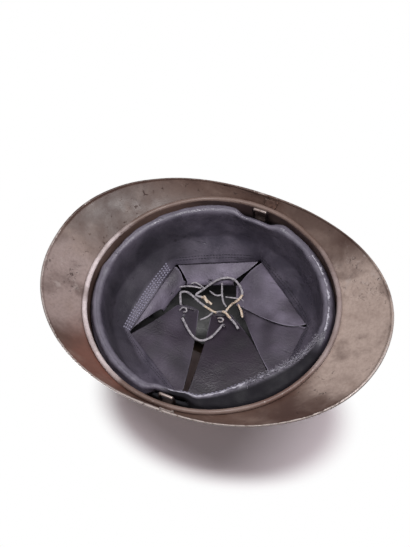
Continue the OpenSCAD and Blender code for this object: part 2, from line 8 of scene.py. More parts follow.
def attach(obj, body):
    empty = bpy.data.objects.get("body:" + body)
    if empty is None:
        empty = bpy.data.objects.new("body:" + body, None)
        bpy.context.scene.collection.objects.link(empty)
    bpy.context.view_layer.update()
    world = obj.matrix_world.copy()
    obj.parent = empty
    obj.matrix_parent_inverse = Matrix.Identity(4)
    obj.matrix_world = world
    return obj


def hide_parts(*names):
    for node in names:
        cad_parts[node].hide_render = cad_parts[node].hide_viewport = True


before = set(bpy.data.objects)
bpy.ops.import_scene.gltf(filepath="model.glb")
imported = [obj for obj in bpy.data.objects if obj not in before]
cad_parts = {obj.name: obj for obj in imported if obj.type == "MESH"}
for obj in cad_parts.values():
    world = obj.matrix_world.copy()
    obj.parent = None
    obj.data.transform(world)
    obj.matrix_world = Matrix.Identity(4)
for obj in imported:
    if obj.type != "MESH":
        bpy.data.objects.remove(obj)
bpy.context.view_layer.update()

SCENE = bpy.context.scene
SCENE.view_settings.view_transform = "Standard"

# Sizes in metres, in the part's own frame: +Z up through the crown, front towards -Y.
# Bowl: half its width, its reach to front and rear, its height over the rim, how full its lines
# are, and the room under what sits on it
HALF_W, FRONT, REAR, CROWN, FULLNESS = 0.096, 0.102, 0.104, 0.106, 2.05
MID_Y, RIM_Z, STEEL, BEAD_R, SEAT = -0.005, 0.0182, 0.0008, 0.0021, 0.0003
# Brim: its reach over the bowl, its drop, hem and collar, how square its outline is, and the lap
VISOR_REACH, GUARD_REACH, SIDE_REACH = 0.038, 0.046, 0.010
TIP_DROP, SIDE_DROP, HEM_R, COLLAR_H = 0.017, 0.008, 0.0012, 0.005
VISOR_SQUARE, GUARD_SQUARE, SEAM_LAP = 2.17, 2.1, 0.008
# Liner: heights over the rim, the pull on one side, insets from the bowl, thicknesses, and the six
# corners: their radius, centre, angles and shares of that radius. LACE_W is the lace's width.
BAND_TOP, BAND_LOW, BAND_TURN, BAND_PULL = 0.050, 0.0045, 0.034, 0.010
BAND_INSET, FELT_INSET, FELT_T, LEATHER, HEX_R = 0.01205, 0.0067, 0.003, 0.0015, 0.076
HEX_C = np.array([0.0, -0.003])
CORNERS = [(6, 1), (66, 1), (116, 0.98), (180, 0.93), (246, 1), (306, 1)]
LACE_W = 0.0021

# The photograph's camera, as fitted to it: its place, its right, and what lies ahead of it
CAMERA_AT, LENS = (-0.3419, 0.2401, -0.7051), 68.24
RIGHT, AHEAD = Vector((0.4173, 0.9017, 0.1127)), Vector((0.4269, -0.3040, 0.8517))


def linked(name, data):
    """A new object in the scene."""
    o = bpy.data.objects.new(name, data)
    SCENE.collection.objects.link(o)
    return o


def square_to(v, axis):
    """The direction of v without its share along an axis."""
    return (v - axis * v.dot(axis)).normalized()


def turned(at, x, z):
    """The matrix of a camera or lamp with its own X and its back in these directions."""
    return Matrix.Translation(at) @ Matrix((x, z.cross(x), z)).transposed().to_4x4()


def make_camera():
    right = RIGHT.normalized()
    data = bpy.data.cameras.new("camera")
    data.sensor_width, data.lens = 36, LENS
    SCENE.camera = linked("camera", data)
    SCENE.camera.matrix_world = turned(CAMERA_AT, right, -square_to(AHEAD, right))


make_camera()


# Meshes
def unit(v):
    return v / np.maximum(np.linalg.norm(v, axis=-1, keepdims=True), 1e-12)


def smooth(t):
    t = np.clip(t, 0, 1)
    return t * t * (3 - 2 * t)


def lengths(p):
    """How far along a line each of its points is."""
    return np.concatenate([[0], np.cumsum(np.linalg.norm(np.diff(p, axis=0), axis=1))])


def waves(p, size, seed):
    """Smooth bumps about -1 to 1, the same at each run, with bumps about size apart."""
    rng = np.random.default_rng(seed)
    total = np.zeros(p.shape[:-1])
    for _ in range(14):
        way = unit(rng.normal(size=3)) * rng.uniform(0.6, 1.6) * 2 * math.pi / size
        total += np.sin(p @ way + rng.uniform(0, 6.28))
    return total / 4


def mesh_of(name, points, faces, kinds=None, soft=True):
    """A mesh. kinds gives each face the number of its material."""
    mesh = bpy.data.meshes.new(name)
    mesh.from_pydata(np.asarray(points, float).reshape(-1, 3).tolist(), [], faces)
    if kinds is not None:
        mesh.polygons.foreach_set("material_index", np.asarray(kinds, np.int32))
    mesh.polygons.foreach_set("use_smooth", np.full(len(mesh.polygons), soft))
    mesh.update()
    return mesh


def quads(rows, cols, wrap_rows=False, wrap_cols=False):
    """Faces of a grid of points."""
    i = np.arange(rows if wrap_rows else rows - 1)[:, None]
    j = np.arange(cols if wrap_cols else cols - 1)[None, :]
    a, b = i * cols + j, i * cols + (j + 1) % cols
    c, d = (i + 1) % rows * cols + (j + 1) % cols, (i + 1) % rows * cols + j
    return np.stack([a, b, c, d], -1).reshape(-1, 4).tolist()


def end_faces(rows, cols):
    """Faces that close both ends of a folded plate, whose rings run out on one side and back."""
    faces = []
    for base, turn in ((0, 1), ((rows - 1) * cols, -1)):
        for j in range(cols // 2 - 1):
            k = cols - 1 - j
            faces.append([base + j, base + k, base + k - 1, base + j + 1][::turn])
    return faces


def mark(mesh, name, values):
    """Gives each point of a mesh a value that its material reads."""
    layer = mesh.attributes.new(name, "FLOAT", "POINT")
    layer.data.foreach_set("value", np.asarray(values, np.float32).ravel())


def shown(mesh, slot, *materials, replaces=None):
    """A piece of the helmet with the mesh's name."""
    piece = linked(mesh.name, mesh)
    for m in materials:
        mesh.materials.append(m)
    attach(piece, "helmet")
    if replaces:
        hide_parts(replaces)
    return piece


def finished(piece):
    """Applies the piece's modifiers."""
    bpy.context.view_layer.update()
    seen = piece.evaluated_get(bpy.context.evaluated_depsgraph_get())
    done = bpy.data.meshes.new_from_object(seen)
    piece.modifiers.clear()
    piece.data = done


def thickened(piece):
    """Makes leather of a surface. Its cut edges have the second material."""
    wall_t = piece.modifiers.new("thickness", "SOLIDIFY")
    wall_t.thickness, wall_t.offset, wall_t.material_offset_rim = LEATHER, 0, 1
    finished(piece)


# Node trees
def rgb(code):
    """A colour as it is read off a screen, made linear."""
    c = [int(code[k:k + 2], 16) / 255 for k in (0, 2, 4)]
    return (*(v / 12.92 if v <= 0.04045 else ((v + 0.055) / 1.055) ** 2.4 for v in c), 1.0)


class Tree:
    """A node tree. Values are sockets or constants, and colours may be codes as rgb reads them."""

    def __init__(self, tree):
        self.tree = tree

    def put(self, value, socket):
        if isinstance(value, bpy.types.NodeSocket):
            self.tree.links.new(value, socket)
        else:
            socket.default_value = value

    def add(self, kind, values=None, **settings):
        n = self.tree.nodes.new(kind)
        for k, v in settings.items():
            setattr(n, k, v)
        for k, v in (values or {}).items():
            self.put(v, n.inputs[k])
        return n

    def out(self, kind, values=None, **settings):
        """The first output of a new node."""
        return self.add(kind, values, **settings).outputs[0]

    def maths(self, what, a, b=0.0):
        return self.out("ShaderNodeMath", {0: a, 1: b}, operation=what)

    def plus(self, a, b):
        return self.maths("ADD", a, b)

    def minus(self, a, b):
        return self.maths("SUBTRACT", a, b)

    def times(self, a, b):
        return self.maths("MULTIPLY", a, b)

    def larger(self, a, b):
        return self.maths("MAXIMUM", a, b)

    def vector(self, what, a, b, output):
        return self.add("ShaderNodeVectorMath", {0: a, 1: b}, operation=what).outputs[output]

    def mapped(self, at, **values):
        return self.out("ShaderNodeMapping", {"Vector": at, **values})

    def ramp(self, value, low, high, to_low=0.0, to_high=1.0):
        return self.out("ShaderNodeMapRange", {"Value": value, "From Min": low, "From Max": high,
                        "To Min": to_low, "To Max": to_high}, interpolation_type="SMOOTHSTEP")

    def blend(self, share, a, b):
        a, b = (rgb(c) if isinstance(c, str) else c for c in (a, b))
        return self.add("ShaderNodeMix", {0: share, 6: a, 7: b}, data_type="RGBA").outputs[2]

    def noise(self, at, scale, detail=4.0, rough=0.55, warp=0.0):
        return self.add("ShaderNodeTexNoise", {"Vector": at, "Scale": scale, "Detail": detail,
                        "Roughness": rough, "Distortion": warp}).outputs["Fac"]

    def marked(self, name):
        return self.add("ShaderNodeAttribute", attribute_name=name).outputs["Fac"]

    def axes(self, at):
        return self.add("ShaderNodeSeparateXYZ", {0: at}).outputs

    def use(self, what, **values):
        return self.add("ShaderNodeGroup", values, node_tree=what).outputs

    def bump(self, shader, height, strength, distance):
        self.put(self.out("ShaderNodeBump", {"Height": height, "Strength": strength,
                 "Distance": distance}), shader.inputs["Normal"])


def group(name, values, outputs=("Mask",)):
    """A shader group that takes a Vector and some values: its tree, inputs and outputs."""
    tree = bpy.data.node_groups.new(name, "ShaderNodeTree")
    tree.interface.new_socket("Vector", in_out="INPUT", socket_type="NodeSocketVector")
    for n, value in values.items():
        tree.interface.new_socket(n, in_out="INPUT", socket_type="NodeSocketFloat").default_value = value
    for n in outputs:
        tree.interface.new_socket(n, in_out="OUTPUT", socket_type="NodeSocketFloat")
    return Tree(tree), tree.nodes.new("NodeGroupInput").outputs, tree.nodes.new("NodeGroupOutput").inputs


def patches_group():
    t, i, o = group("patches", {"Scale": 20.0, "From": 0.4, "To": 0.6})
    t.put(t.ramp(t.noise(i["Vector"], i["Scale"], 6.0, 0.6, 0.3), i["From"], i["To"]), o["Mask"])
    return t.tree


def specks_group():
    """Small separate pits, gathered in some places and absent in others."""
    t, i, o = group("specks", {"Scale": 300.0, "Size": 0.1, "Gathering": 25.0, "Amount": 1.0})
    spot = t.noise(i["Vector"], i["Scale"], 5.0, 0.62, 0.7)
    dot = t.ramp(spot, t.minus(0.75, i["Size"]), t.minus(0.8, i["Size"]))
    gathered = t.ramp(t.noise(i["Vector"], i["Gathering"], 3.0), 0.46, 0.6)
    t.put(t.times(dot, t.times(gathered, i["Amount"])), o["Mask"])
    return t.tree


def scratches_group():
    """Fine broken lines in two directions."""
    t, i, o = group("scratches", {"Scale": 60.0, "Amount": 0.5})
    found = []
    for turn, away in (((0.3, 0.2, 0.5), 1.0), ((1.1, 0.4, -0.7), 5.0)):
        at = t.mapped(i["Vector"], Location=(away,) * 3, Rotation=turn, Scale=(1.0, 0.04, 0.3))
        line = t.ramp(t.noise(at, t.times(i["Scale"], 9.0), 2.0), 0.69, 0.74)
        part = t.ramp(t.noise(i["Vector"], i["Scale"], 2.0), 0.52, 0.62)
        found.append(t.times(line, part))
    t.put(t.times(t.larger(*found), i["Amount"]), o["Mask"])
    return t.tree


def grain_group():
    """Leather grain: fine cells, creases and pores."""
    t, i, o = group("leather_grain", {"Scale": 900.0, "Creases": 60.0}, ("Height", "Crease"))
    cell = t.add("ShaderNodeTexVoronoi", {"Vector": i["Vector"], "Scale": i["Scale"]},
                 feature="F1").outputs["Distance"]
    at = t.mapped(i["Vector"], Rotation=(0.1, 0.05, -0.12), Scale=(1.0, 0.2, 1.0))
    fine = t.noise(at, t.times(i["Scale"], 0.6), 4.0)
    folds = t.noise(at, t.times(i["Creases"], 4.0), 4.0, 0.6, 0.4)
    crease = t.times(t.ramp(folds, 0.44, 0.3), t.ramp(t.noise(i["Vector"], i["Creases"], 3.0), 0.4, 0.6))
    up = t.plus(t.times(cell, 0.45), t.times(fine, 0.6))
    t.put(t.minus(up, t.times(crease, 0.5)), o["Height"])
    t.put(crease, o["Crease"])
    return t.tree


def worn_group():
    """A marked edge, broken up as wear is."""
    t, i, o = group("worn_edge", {"Edge": 0.0, "Scale": 150.0, "Wear": 0.5})
    n = t.noise(i["Vector"], i["Scale"], 5.0, 0.65)
    near = t.plus(t.times(i["Edge"], 0.6), t.times(n, 0.9))
    low = t.minus(1.25, t.times(i["Wear"], 0.5))
    t.put(t.ramp(near, low, t.plus(low, 0.12)), o["Mask"])
    return t.tree


PATCHES, SPECKS, SCRATCHES = patches_group(), specks_group(), scratches_group()
GRAIN, WORN = grain_group(), worn_group()


# Materials
def material(name, rough=0.5, metal=0.0):
    """A new material, its tree, its shader and the place on the piece."""
    m = bpy.data.materials.new(name)
    m.use_nodes = True
    t, shader = Tree(m.node_tree), m.node_tree.nodes["Principled BSDF"]
    t.put(rough, shader.inputs["Roughness"])
    t.put(metal, shader.inputs["Metallic"])
    return m, t, shader, t.add("ShaderNodeTexCoord").outputs["Object"]


def painted(name, base, dark, light, bare, rust, wear, spots=(), pitted=(), deep=None, metal_wear=0.5):
    """Old satin paint on steel: cloudy, pitted, scratched, and worn along marked edges, with one wear
    for the -X side and one for the +X side. Within spots (middle, near, off, colour) it has another
    colour, and round pitted (middle, near, off) more pits. Deep inside it may have two more colours,
    the first a painted light on the -X side near the middle and the second a painted shade elsewhere."""
    m, t, shader, at = material(name, 0.42)
    seam, xyz = t.marked("seam"), t.axes(at)
    cloud = t.noise(at, 17.0, 5.0, 0.55, 0.6)
    colour = t.blend(t.ramp(cloud, 0.36, 0.64), dark, base)
    ragged = t.times(t.minus(cloud, 0.5), 0.09)

    def around(spot, near, off):
        return t.ramp(t.plus(t.vector("DISTANCE", at, spot, "Value"), ragged), off, near)

    for spot, near, off, tint in spots:
        colour = t.blend(around(spot, near, off), colour, tint)
    smear = t.noise(t.mapped(at, Scale=(1.0, 0.6, 1.0)), 46.0, 4.0, 0.5, 0.25)
    colour = t.blend(t.ramp(smear, 0.5, 0.3, 0.0, 0.6), colour, dark)
    colour = t.blend(t.ramp(smear, 0.52, 0.75, 0.0, 0.55), colour, light)
    fine = t.noise(at, 420.0, 3.0)
    colour = t.blend(t.ramp(fine, 0.3, 0.75, 0.0, 0.22), colour, dark)
    stain = t.times(seam, t.ramp(t.noise(at, 210.0, 5.0, 0.65), 0.38, 0.62))
    colour = t.blend(t.times(stain, 0.85), colour, "7a5a4e")
    crust = t.times(seam, t.ramp(t.noise(at, 420.0, 4.0, 0.6), 0.5, 0.58))
    colour = t.blend(t.times(crust, 0.9), colour, rust)
    pits = t.use(SPECKS, Vector=at, Scale=230.0, Size=0.125, Gathering=26.0, Amount=1.0)[0]
    for place in pitted:
        more = t.use(SPECKS, Vector=at, Scale=330.0, Size=0.2, Gathering=60.0, Amount=around(*place))[0]
        pits = t.larger(pits, more)
        scuff = t.times(around(*place), t.ramp(t.noise(at, 95.0, 5.0, 0.7), 0.54, 0.66))
        colour = t.blend(t.times(scuff, 0.45), colour, bare)
    colour = t.blend(t.times(pits, 0.75), colour, rust)
    colour = t.blend(t.use(SCRATCHES, Vector=at, Scale=40.0, Amount=0.5)[0], colour, light)
    wear = t.ramp(xyz[0], -0.02, 0.06, *wear)
    worn = t.use(WORN, Edge=t.marked("edge"), Vector=at, Scale=320.0, Wear=wear)[0]
    colour = t.blend(worn, colour, bare)
    # Painted shade deep inside the bowl, with painted light on the -X side near the middle.
    if deep:
        aside = t.maths("ABSOLUTE", t.plus(xyz[1], 0.02))
        dark_share = t.larger(t.ramp(xyz[0], -0.012, 0.004), t.ramp(aside, 0.030, 0.045))
        colour = t.blend(t.ramp(xyz[2], 0.024, 0.036), colour, t.blend(dark_share, *deep))
    t.put(colour, shader.inputs["Base Color"])
    t.put(t.times(worn, metal_wear), shader.inputs["Metallic"])
    rough = t.plus(t.ramp(t.noise(at, 70.0, 5.0), 0.3, 0.7, 0.36, 0.54), t.times(t.larger(pits, stain), 0.3))
    t.put(rough, shader.inputs["Roughness"])
    height = t.minus(t.minus(t.times(fine, 0.25), pits), t.times(worn, 0.3))
    t.bump(shader, height, 0.5, 0.0003)
    return m


def leather(name, base, dull, pale, worn, rough, grain, strength, wear):
    """Old leather: paler where "pale" marks it, darker and duller where its second mark says, and worn
    rough where "edge" says. The paleness is painted light on the tongues that face the light, painted
    highlight on a roll's crown and round the pale stitches, wear along the frayed edge, and worn, partly
    painted-highlight borders on the tongues' cut edges. The darkening is painted shade on the outer face
    of the pulled-in edge, and a darker front wall."""
    m, t, shader, at = material(name)
    darkened_dull, skin = t.marked("darkened_dull"), t.use(GRAIN, Vector=at, Scale=grain, Creases=55.0)
    colour = t.blend(t.ramp(t.noise(at, 30.0, 5.0, 0.6, 0.5), 0.35, 0.65), dull, base)
    share = t.times(t.marked("pale"), t.ramp(t.noise(at, 60.0, 4.0), 0.25, 0.7, 0.55, 1.0))
    colour = t.blend(share, colour, pale)
    # Painted shade in the grain's creases and pores.
    crease_shade = t.plus(t.times(skin["Crease"], 0.34), t.ramp(skin["Height"], 0.35, 0.75, 0.14, 0.0))
    colour = t.blend(crease_shade, colour, "1c1a20")
    # Darker where marked: painted shade on the pulled-in edge's outer face, and the darker front wall.
    colour = t.blend(t.times(darkened_dull, 0.95), colour, "17151a")
    rub = t.use(WORN, Edge=t.marked("edge"), Vector=at, Scale=330.0, Wear=wear)[0]
    t.put(t.blend(rub, colour, worn), shader.inputs["Base Color"])
    t.put(t.ramp(darkened_dull, 0.0, 1.0, 0.5, 0.26), shader.inputs["Specular IOR Level"])
    gloss = t.plus(t.ramp(t.noise(at, 45.0, 5.0), 0.3, 0.7, *rough), t.times(rub, 0.2))
    t.put(t.plus(gloss, t.times(darkened_dull, 0.4)), shader.inputs["Roughness"])
    t.bump(shader, t.plus(skin["Height"], t.times(rub, 1.2)), strength, 0.0004)
    return m


def metal(name, base, dark, rough, tarnish, metallic=0.9, shade_from=None):
    """Tarnished metal. Given a height, a middle along Y and a half width as its last argument, it is
    painted dark as shade above that height and further than that half width from that middle."""
    m, t, shader, at = material(name, rough, metallic)
    cover = t.use(PATCHES, Vector=at, Scale=160.0, From=0.62 - 0.35 * tarnish, To=0.75)[0]
    colour = t.blend(cover, base, dark)
    if shade_from:
        above, middle, half = shade_from
        xyz = t.axes(at)
        aside = t.maths("ABSOLUTE", t.minus(xyz[1], middle))
        # Painted shade: dark above the height and outside the half width.
        painted_shade = t.larger(t.ramp(xyz[2], above, above + 0.0015), t.ramp(aside, half, half + 0.0008))
        colour = t.blend(painted_shade, colour, "2f2526")
    t.put(colour, shader.inputs["Base Color"])
    t.put(t.plus(t.times(cover, 0.35), rough), shader.inputs["Roughness"])
    t.bump(shader, t.noise(at, 900.0, 3.0), 0.25, 0.0002)
    return m


def plain(name, colour, dark, rough, scale, strength=0.6):
    """Felt or thread."""
    m, t, shader, at = material(name, rough)
    n = t.noise(at, scale, 5.0, 0.7)
    t.put(t.blend(t.ramp(n, 0.3, 0.7), dark, colour), shader.inputs["Base Color"])
    t.bump(shader, n, strength, 0.0005)
    return m


def lace_material():
    """Grey waxed lace, worn through to its cream inside where it is marked."""
    m, t, shader, at = material("lace_grey", 0.62)
    n = t.noise(at, 500.0, 4.0)
    colour = t.blend(t.ramp(n, 0.35, 0.7), "b5afb5", "7a747c")
    share = t.ramp(t.plus(t.marked("edge"), t.times(n, 0.5)), 0.62, 0.82)
    cream = t.blend(t.ramp(t.noise(at, 900.0), 0.4, 0.65), "ead9c8", "b9967c")
    t.put(t.blend(share, colour, cream), shader.inputs["Base Color"])
    t.bump(shader, t.noise(at, 2200.0, 3.0), 0.6, 0.0003)
    return m


# On the brim, the two pale spots at the front and rear ends are painted highlights, where the satin paint
# catches the light; the other two spots are the paint's own tone.
BRIM = painted("brim_paint", "604a42", "46302a", "8a756c", "ada09c", "33221f", (0.74, 0.44), spots=(
    ((-0.030, -0.121, 0.01), 0.032, 0.056, "978480"), ((0.016, 0.120, 0.01), 0.040, 0.076, "b09c93"),
    ((-0.085, -0.064, 0.01), 0.010, 0.046, "704a40"), ((0.096, 0.036, 0.01), 0.008, 0.04, "76625a")),
    pitted=(((-0.021, -0.122, 0.01), 0.004, 0.020), ((0.066, 0.109, 0.01), 0.008, 0.034)))
OUTSIDE = painted("bowl_paint", "6c5b4e", "51443a", "867467", "a99b90", "3f2e28", (0.5, 0.5))
# Inside the bowl, the dark spot on the +X side by the bail is painted shade. Of the deep colours, the paler
# first is painted light behind the open gap between two tongues, and the near-black second is painted shade
# deep behind the liner.
INSIDE = painted("inside_paint", "7a625a", "5b4640", "8a766e", "6a5f58", "3a2824", (0.2, 0.2),
                 spots=(((0.100, -0.005, 0.020), 0.045, 0.085, "584748"),), deep=("84706f", "141116"))
# On the bead, the pale spots at the front and the rear are painted highlights, and the darker spot on the -X
# side towards the rear is painted shade.
BEAD = painted("bead_paint", "806b64", "6a554e", "94807a", "b8a8a2", "4a3632", (0.26, 0.26), spots=(
    ((-0.033, -0.100, 0.018), 0.046, 0.080, "e4d4d6"), ((0.010, 0.100, 0.018), 0.046, 0.080, "9a8988"),
    ((-0.054, 0.088, 0.018), 0.014, 0.052, "6c524b")), metal_wear=0.1)
BAND = leather("band_leather", "68616f", "46414e", "86808e", "b4b0bc", (0.22, 0.55), 1100.0, 0.8, 0.8)
TONGUE = leather("tongue_leather", "2b1f2e", "1f1722", "90869a", "8f8996", (0.42, 0.64), 700.0, 1.0, 0.2)
CUT = leather("cut_edge", "7f7b86", "69656f", "918d96", "9a969c", (0.6, 0.8), 1500.0, 0.6, 0.2)
FELT = plain("black_felt", "2b2a30", "1c1b20", 0.95, 1400.0, 0.9)
THREAD = plain("dark_thread", "35323c", "232129", 0.75, 3000.0)
PALE_THREAD = plain("pale_thread", "a49fb4", "7c7789", 0.75, 3000.0)
FRAY = plain("frayed_fibre", "a7a2ae", "5d5964", 0.85, 2000.0)
# The bail wire is painted dark as shade everywhere but its bar, where it lies in the shade inside the bowl.
TINNED = metal("tinned_wire", "ab9c98", "84736c", 0.42, 0.4, 0.6, shade_from=(0.0158, 0.001, 0.0052))
RUSTY = metal("rusty_clip", "3c2e2b", "281d1b", 0.7, 0.8, 0.3)
ALUMINIUM = metal("dull_aluminium", "7b7a7c", "4b4a4c", 0.5, 0.6)
TAB_METAL = metal("tab_metal", "8d8781", "5a4f48", 0.45, 0.5)
LACE_GREY = lace_material()


# Lace, the one free cord: its way, in millimetres
LACE = [(26, -22, 82), (28.5, -30.5, 80), (28.5, -38, 79.5), (35.5, -34.5, 79), (42, -29.5, 76.5),
        (47, -23.5, 73), (51, -16.5, 72), (50.5, -9.5, 71.5), (45.5, -2, 71), (40, 2, 71.5),
        (35, 1, 73), (32, -2, 75.5), (30.5, -5, 79), (25, -7, 80.5), (18.5, -7.5, 79.5), (11.5, -4, 79),
        (6.5, -1, 76.5), (6.5, -1, 73.5), (6, -1.5, 71), (0, -2.5, 70), (-8.5, -5, 69.5),
        (-14.5, -11, 69.5), (-14.5, -18, 69.5), (-10.5, -25, 69), (-6, -30.5, 69.5), (-1.5, -35.5, 70),
        (-1, -36.5, 72.5), (-1, -37, 75.5), (4.5, -40.5, 79), (12.5, -45, 79.5), (21, -50, 79.5),
        (26, -51.5, 79), (28, -47, 79), (27, -41.5, 79.5), (22.5, -29.5, 80.5), (18.5, -16, 78.5),
        (19, -10.5, 75.5), (18.5, -5, 72), (14.5, 2, 71), (11, 8, 70.5), (7, 13, 70)]
# Shares of the lace's length where it is worn to its cream inside
LACE_BARE = [(0.0, 0.035), (0.265, 0.33), (0.845, 0.885), (0.92, 0.95)]
# Torn strands and curled ends that stay on the lace, in millimetres too: their width, how bare they
# are from 0 to 1, and their way
STRANDS = {
    "side": (1.7, 0, [(27.8, -57.4, 77.5), (31.1, -51.8, 77.2), (33.7, -45.2, 77), (35.7, -35.9, 77.5)]),
    "arch": (1.4, 0, [(35.6, -45.9, 76.5), (37.9, -42.6, 75.5), (36.9, -36.7, 75.8), (36, -33.4, 76.5)]),
    "drop": (1.7, 0, [(46.6, -20.8, 76.5), (36.5, -16.2, 76.8), (29.6, -11.8, 76.5), (26, -7.4, 76)]),
    "tie": (1.5, 0, [(35.5, -28, 77.2), (33.3, -20.6, 76.8), (35.8, -16, 77)]),
    "cross": (1.4, 0.2, [(33.9, -11.4, 74.8), (35.4, -3.1, 74.2), (36.3, 1.2, 74.5)]),
    "hook": (1.4, 0, [(37.4, 1.6, 75.2), (34.5, 7.5, 74.8), (31.8, 8.8, 75), (30.7, 6.4, 75.2)]),
    "cream": (2, 1, [(30.8, 1.9, 74.2), (25.8, 6.9, 73.8), (20.3, 10.6, 74.2)]),
    "low": (1.6, 0.1, [(15.5, -15.1, 73.5), (9.7, -17.2, 72.8), (4.6, -22.5, 73.5)]),
    "torn": (2.6, 1, [(28.5, -29.8, 75.8), (26.2, -27.5, 75.2), (23.2, -24, 75.7)]),
    "curl_left": (1.5, 0.3, [(6, -42.5, 72.2), (9.2, -40.8, 71.2), (9.2, -37.5, 70.8),
                             (6.8, -36.2, 71.2), (5.6, -38.5, 71.8)]),
    "curl_right": (1.5, 0.4, [(10.5, -8.1, 71.2), (11.6, -5, 70.2), (10, -2.4, 70), (7.9, -4, 70.4),
                              (8.6, -6.4, 71.2)])}


def spline(places, steps):
    p = np.array(places, float)
    p = np.vstack([p[0], p, p[-1]])
    t = np.linspace(0, 1, steps, endpoint=False)[:, None]
    out = [(2 * b + (c - a) * t + (2 * a - 5 * b + 4 * c - d) * t**2 + (3 * b - a - 3 * c + d) * t**3) / 2
           for a, b, c, d in zip(p, p[1:], p[2:], p[3:])]
    return np.vstack([*out, p[-1:]])


def tube(name, path, radius, sides, flat):
    """A closed tube along a path. flat is its thickness towards the opening over its width."""
    n, up = len(path), np.array([0.0, 0.0, 1.0])
    way = unit(np.gradient(path, axis=0))
    side = up if abs(way[0, 2]) < 0.9 else np.array([1.0, 0.0, 0.0])
    turn = np.linspace(0, 2 * np.pi, sides, endpoint=False)[:, None]
    rings = []
    for here, ahead, r in zip(path, way, radius):
        side = unit(side - ahead * (side @ ahead) + (up - ahead * ahead[2]) * 0.25)
        rings.append(here + r * (np.cos(turn) * np.cross(ahead, side) + flat * np.sin(turn) * side))
    first, last, end = n * sides, n * sides + 1, (n - 1) * sides
    faces = quads(n, sides, wrap_cols=True)
    faces += [(first, (j + 1) % sides, j) for j in range(sides)]
    faces += [(last, end + j, end + (j + 1) % sides) for j in range(sides)]
    return mesh_of(name, np.vstack([*rings, path[:1], path[-1:]]), faces)


def make_lace():
    path, sides = spline(np.array(LACE) / 1000, 10), 12
    run = lengths(path)
    share = run / run[-1]
    radius = LACE_W / 2 * (1 + 0.08 * np.sin(run * 800) + 0.05 * np.sin(run * 2300 + 1))
    mesh = tube("lace_worn", path, radius, sides, 0.78)
    bare = np.zeros(len(path))
    for a, b in LACE_BARE:
        bare = np.maximum(bare, smooth((share - a + 0.01) / 0.01) * smooth((b + 0.01 - share) / 0.01))
    mark(mesh, "edge", np.concatenate([np.repeat(bare, sides), bare[:1], bare[-1:]]))
    piece = shown(mesh, "lace_cord", LACE_GREY, replaces="lace")
    for name, (width, worn, places) in STRANDS.items():
        line = spline(np.array(places) / 1000, 8)
        taper = width / 2000 * (1 - 0.35 * np.abs(np.linspace(-1, 1, len(line))) ** 3)
        mesh = tube("lace_strand_" + name, line, taper, 10, 0.7)
        mark(mesh, "edge", np.full(len(mesh.vertices), worn))
        shown(mesh, "lace_cord", LACE_GREY)


make_lace()


# Steel shell
def half_len(a):
    """The bowl's half length at a plan angle, which starts at +X and turns towards +Y."""
    return np.where(np.sin(a) < -1e-9, FRONT, REAR)


def plan(a, inset=0.0):
    return np.stack([(HALF_W - inset) * np.cos(a), MID_Y + (half_len(a) - inset) * np.sin(a)], -1)


def dome(a, up, inset=0.0):
    k = np.cos(up) ** (2 / FULLNESS)
    x = (HALF_W - inset) * np.cos(a) * k
    y = MID_Y + (half_len(a) - inset) * np.sin(a) * k
    z = RIM_Z + (CROWN - inset) * np.sin(up) ** (2 / FULLNESS)
    return np.stack(np.broadcast_arrays(x, y, z), -1)


def dome_share(h):
    """How much of its width the bowl still has at a height over the rim."""
    return (1 - (np.maximum(h, 0) / CROWN) ** FULLNESS) ** (1 / FULLNESS)


def wall(a, h, inset):
    k = dome_share(h)
    return np.stack(np.broadcast_arrays((HALF_W * k - inset) * np.cos(a),
                    MID_Y + (half_len(a) * k - inset) * np.sin(a), RIM_Z + h), -1)


def make_bowl():
    segments, steps, roll = 224, 44, 14
    a = np.linspace(0, 2 * np.pi, segments, endpoint=False)
    ups = np.linspace(0, np.pi / 2, steps, endpoint=False)
    normal = unit(np.stack([np.cos(a) / HALF_W, np.sin(a) / half_len(a)], -1))
    turns = np.radians(180 + 200 * np.arange(1, roll + 1) / roll)

    def bead(turn, r):
        out = plan(a) + normal * (BEAD_R - STEEL + r * np.cos(turn))
        return np.column_stack([out, np.full(segments, RIM_Z + r * np.sin(turn))])

    cols = [dome(a, up) for up in ups[::-1]] + [bead(t, BEAD_R - STEEL) for t in turns]
    cols += [bead(t, BEAD_R) for t in turns[::-1]] + [dome(a, up, STEEL) for up in ups]
    p = np.stack(cols, 1)
    n = p.shape[1]
    dents = waves(p, 0.05, 3) * 0.00025
    dents[:, steps:n - steps] *= 0.6
    p += unit(p - np.array([0, MID_Y, RIM_Z])) * dents[..., None]
    tops = [[0, MID_Y, RIM_Z + CROWN], [0, MID_Y, RIM_Z + CROWN - STEEL]]
    top = segments * n
    faces = [f[::-1] for f in quads(segments, n, wrap_rows=True)]
    faces += [(top, i * n, (i + 1) % segments * n) for i in range(segments)]
    faces += [(top + 1, (i + 1) % segments * n + n - 1, i * n + n - 1) for i in range(segments)]
    kind = np.zeros((segments, n - 1), int)
    kind[:, steps - 1:steps + 2 * roll] = 2
    kind[:, steps + 2 * roll:] = 1
    kinds = kind.ravel().tolist() + [0] * segments + [1] * segments
    mesh = mesh_of("bowl_shell", np.vstack([p.reshape(-1, 3), tops]), faces, kinds)
    edge = np.zeros((segments, n))
    edge[:, steps + roll:steps + 2 * roll] = np.sin(np.linspace(0, np.pi, roll))[::-1]
    edge[:, steps + roll // 3:steps + roll] = 0.2
    mark(mesh, "edge", np.concatenate([edge.ravel(), [0, 0]]))
    piece = shown(mesh, "bowl_steel", OUTSIDE, INSIDE, BEAD, replaces="bowl")
    cutter = linked("slot_cutter", slot_block())
    cut = piece.modifiers.new("slot", "BOOLEAN")
    cut.object, cut.operation, cut.solver = cutter, "DIFFERENCE", "EXACT"
    finished(piece)
    bpy.data.objects.remove(cutter)


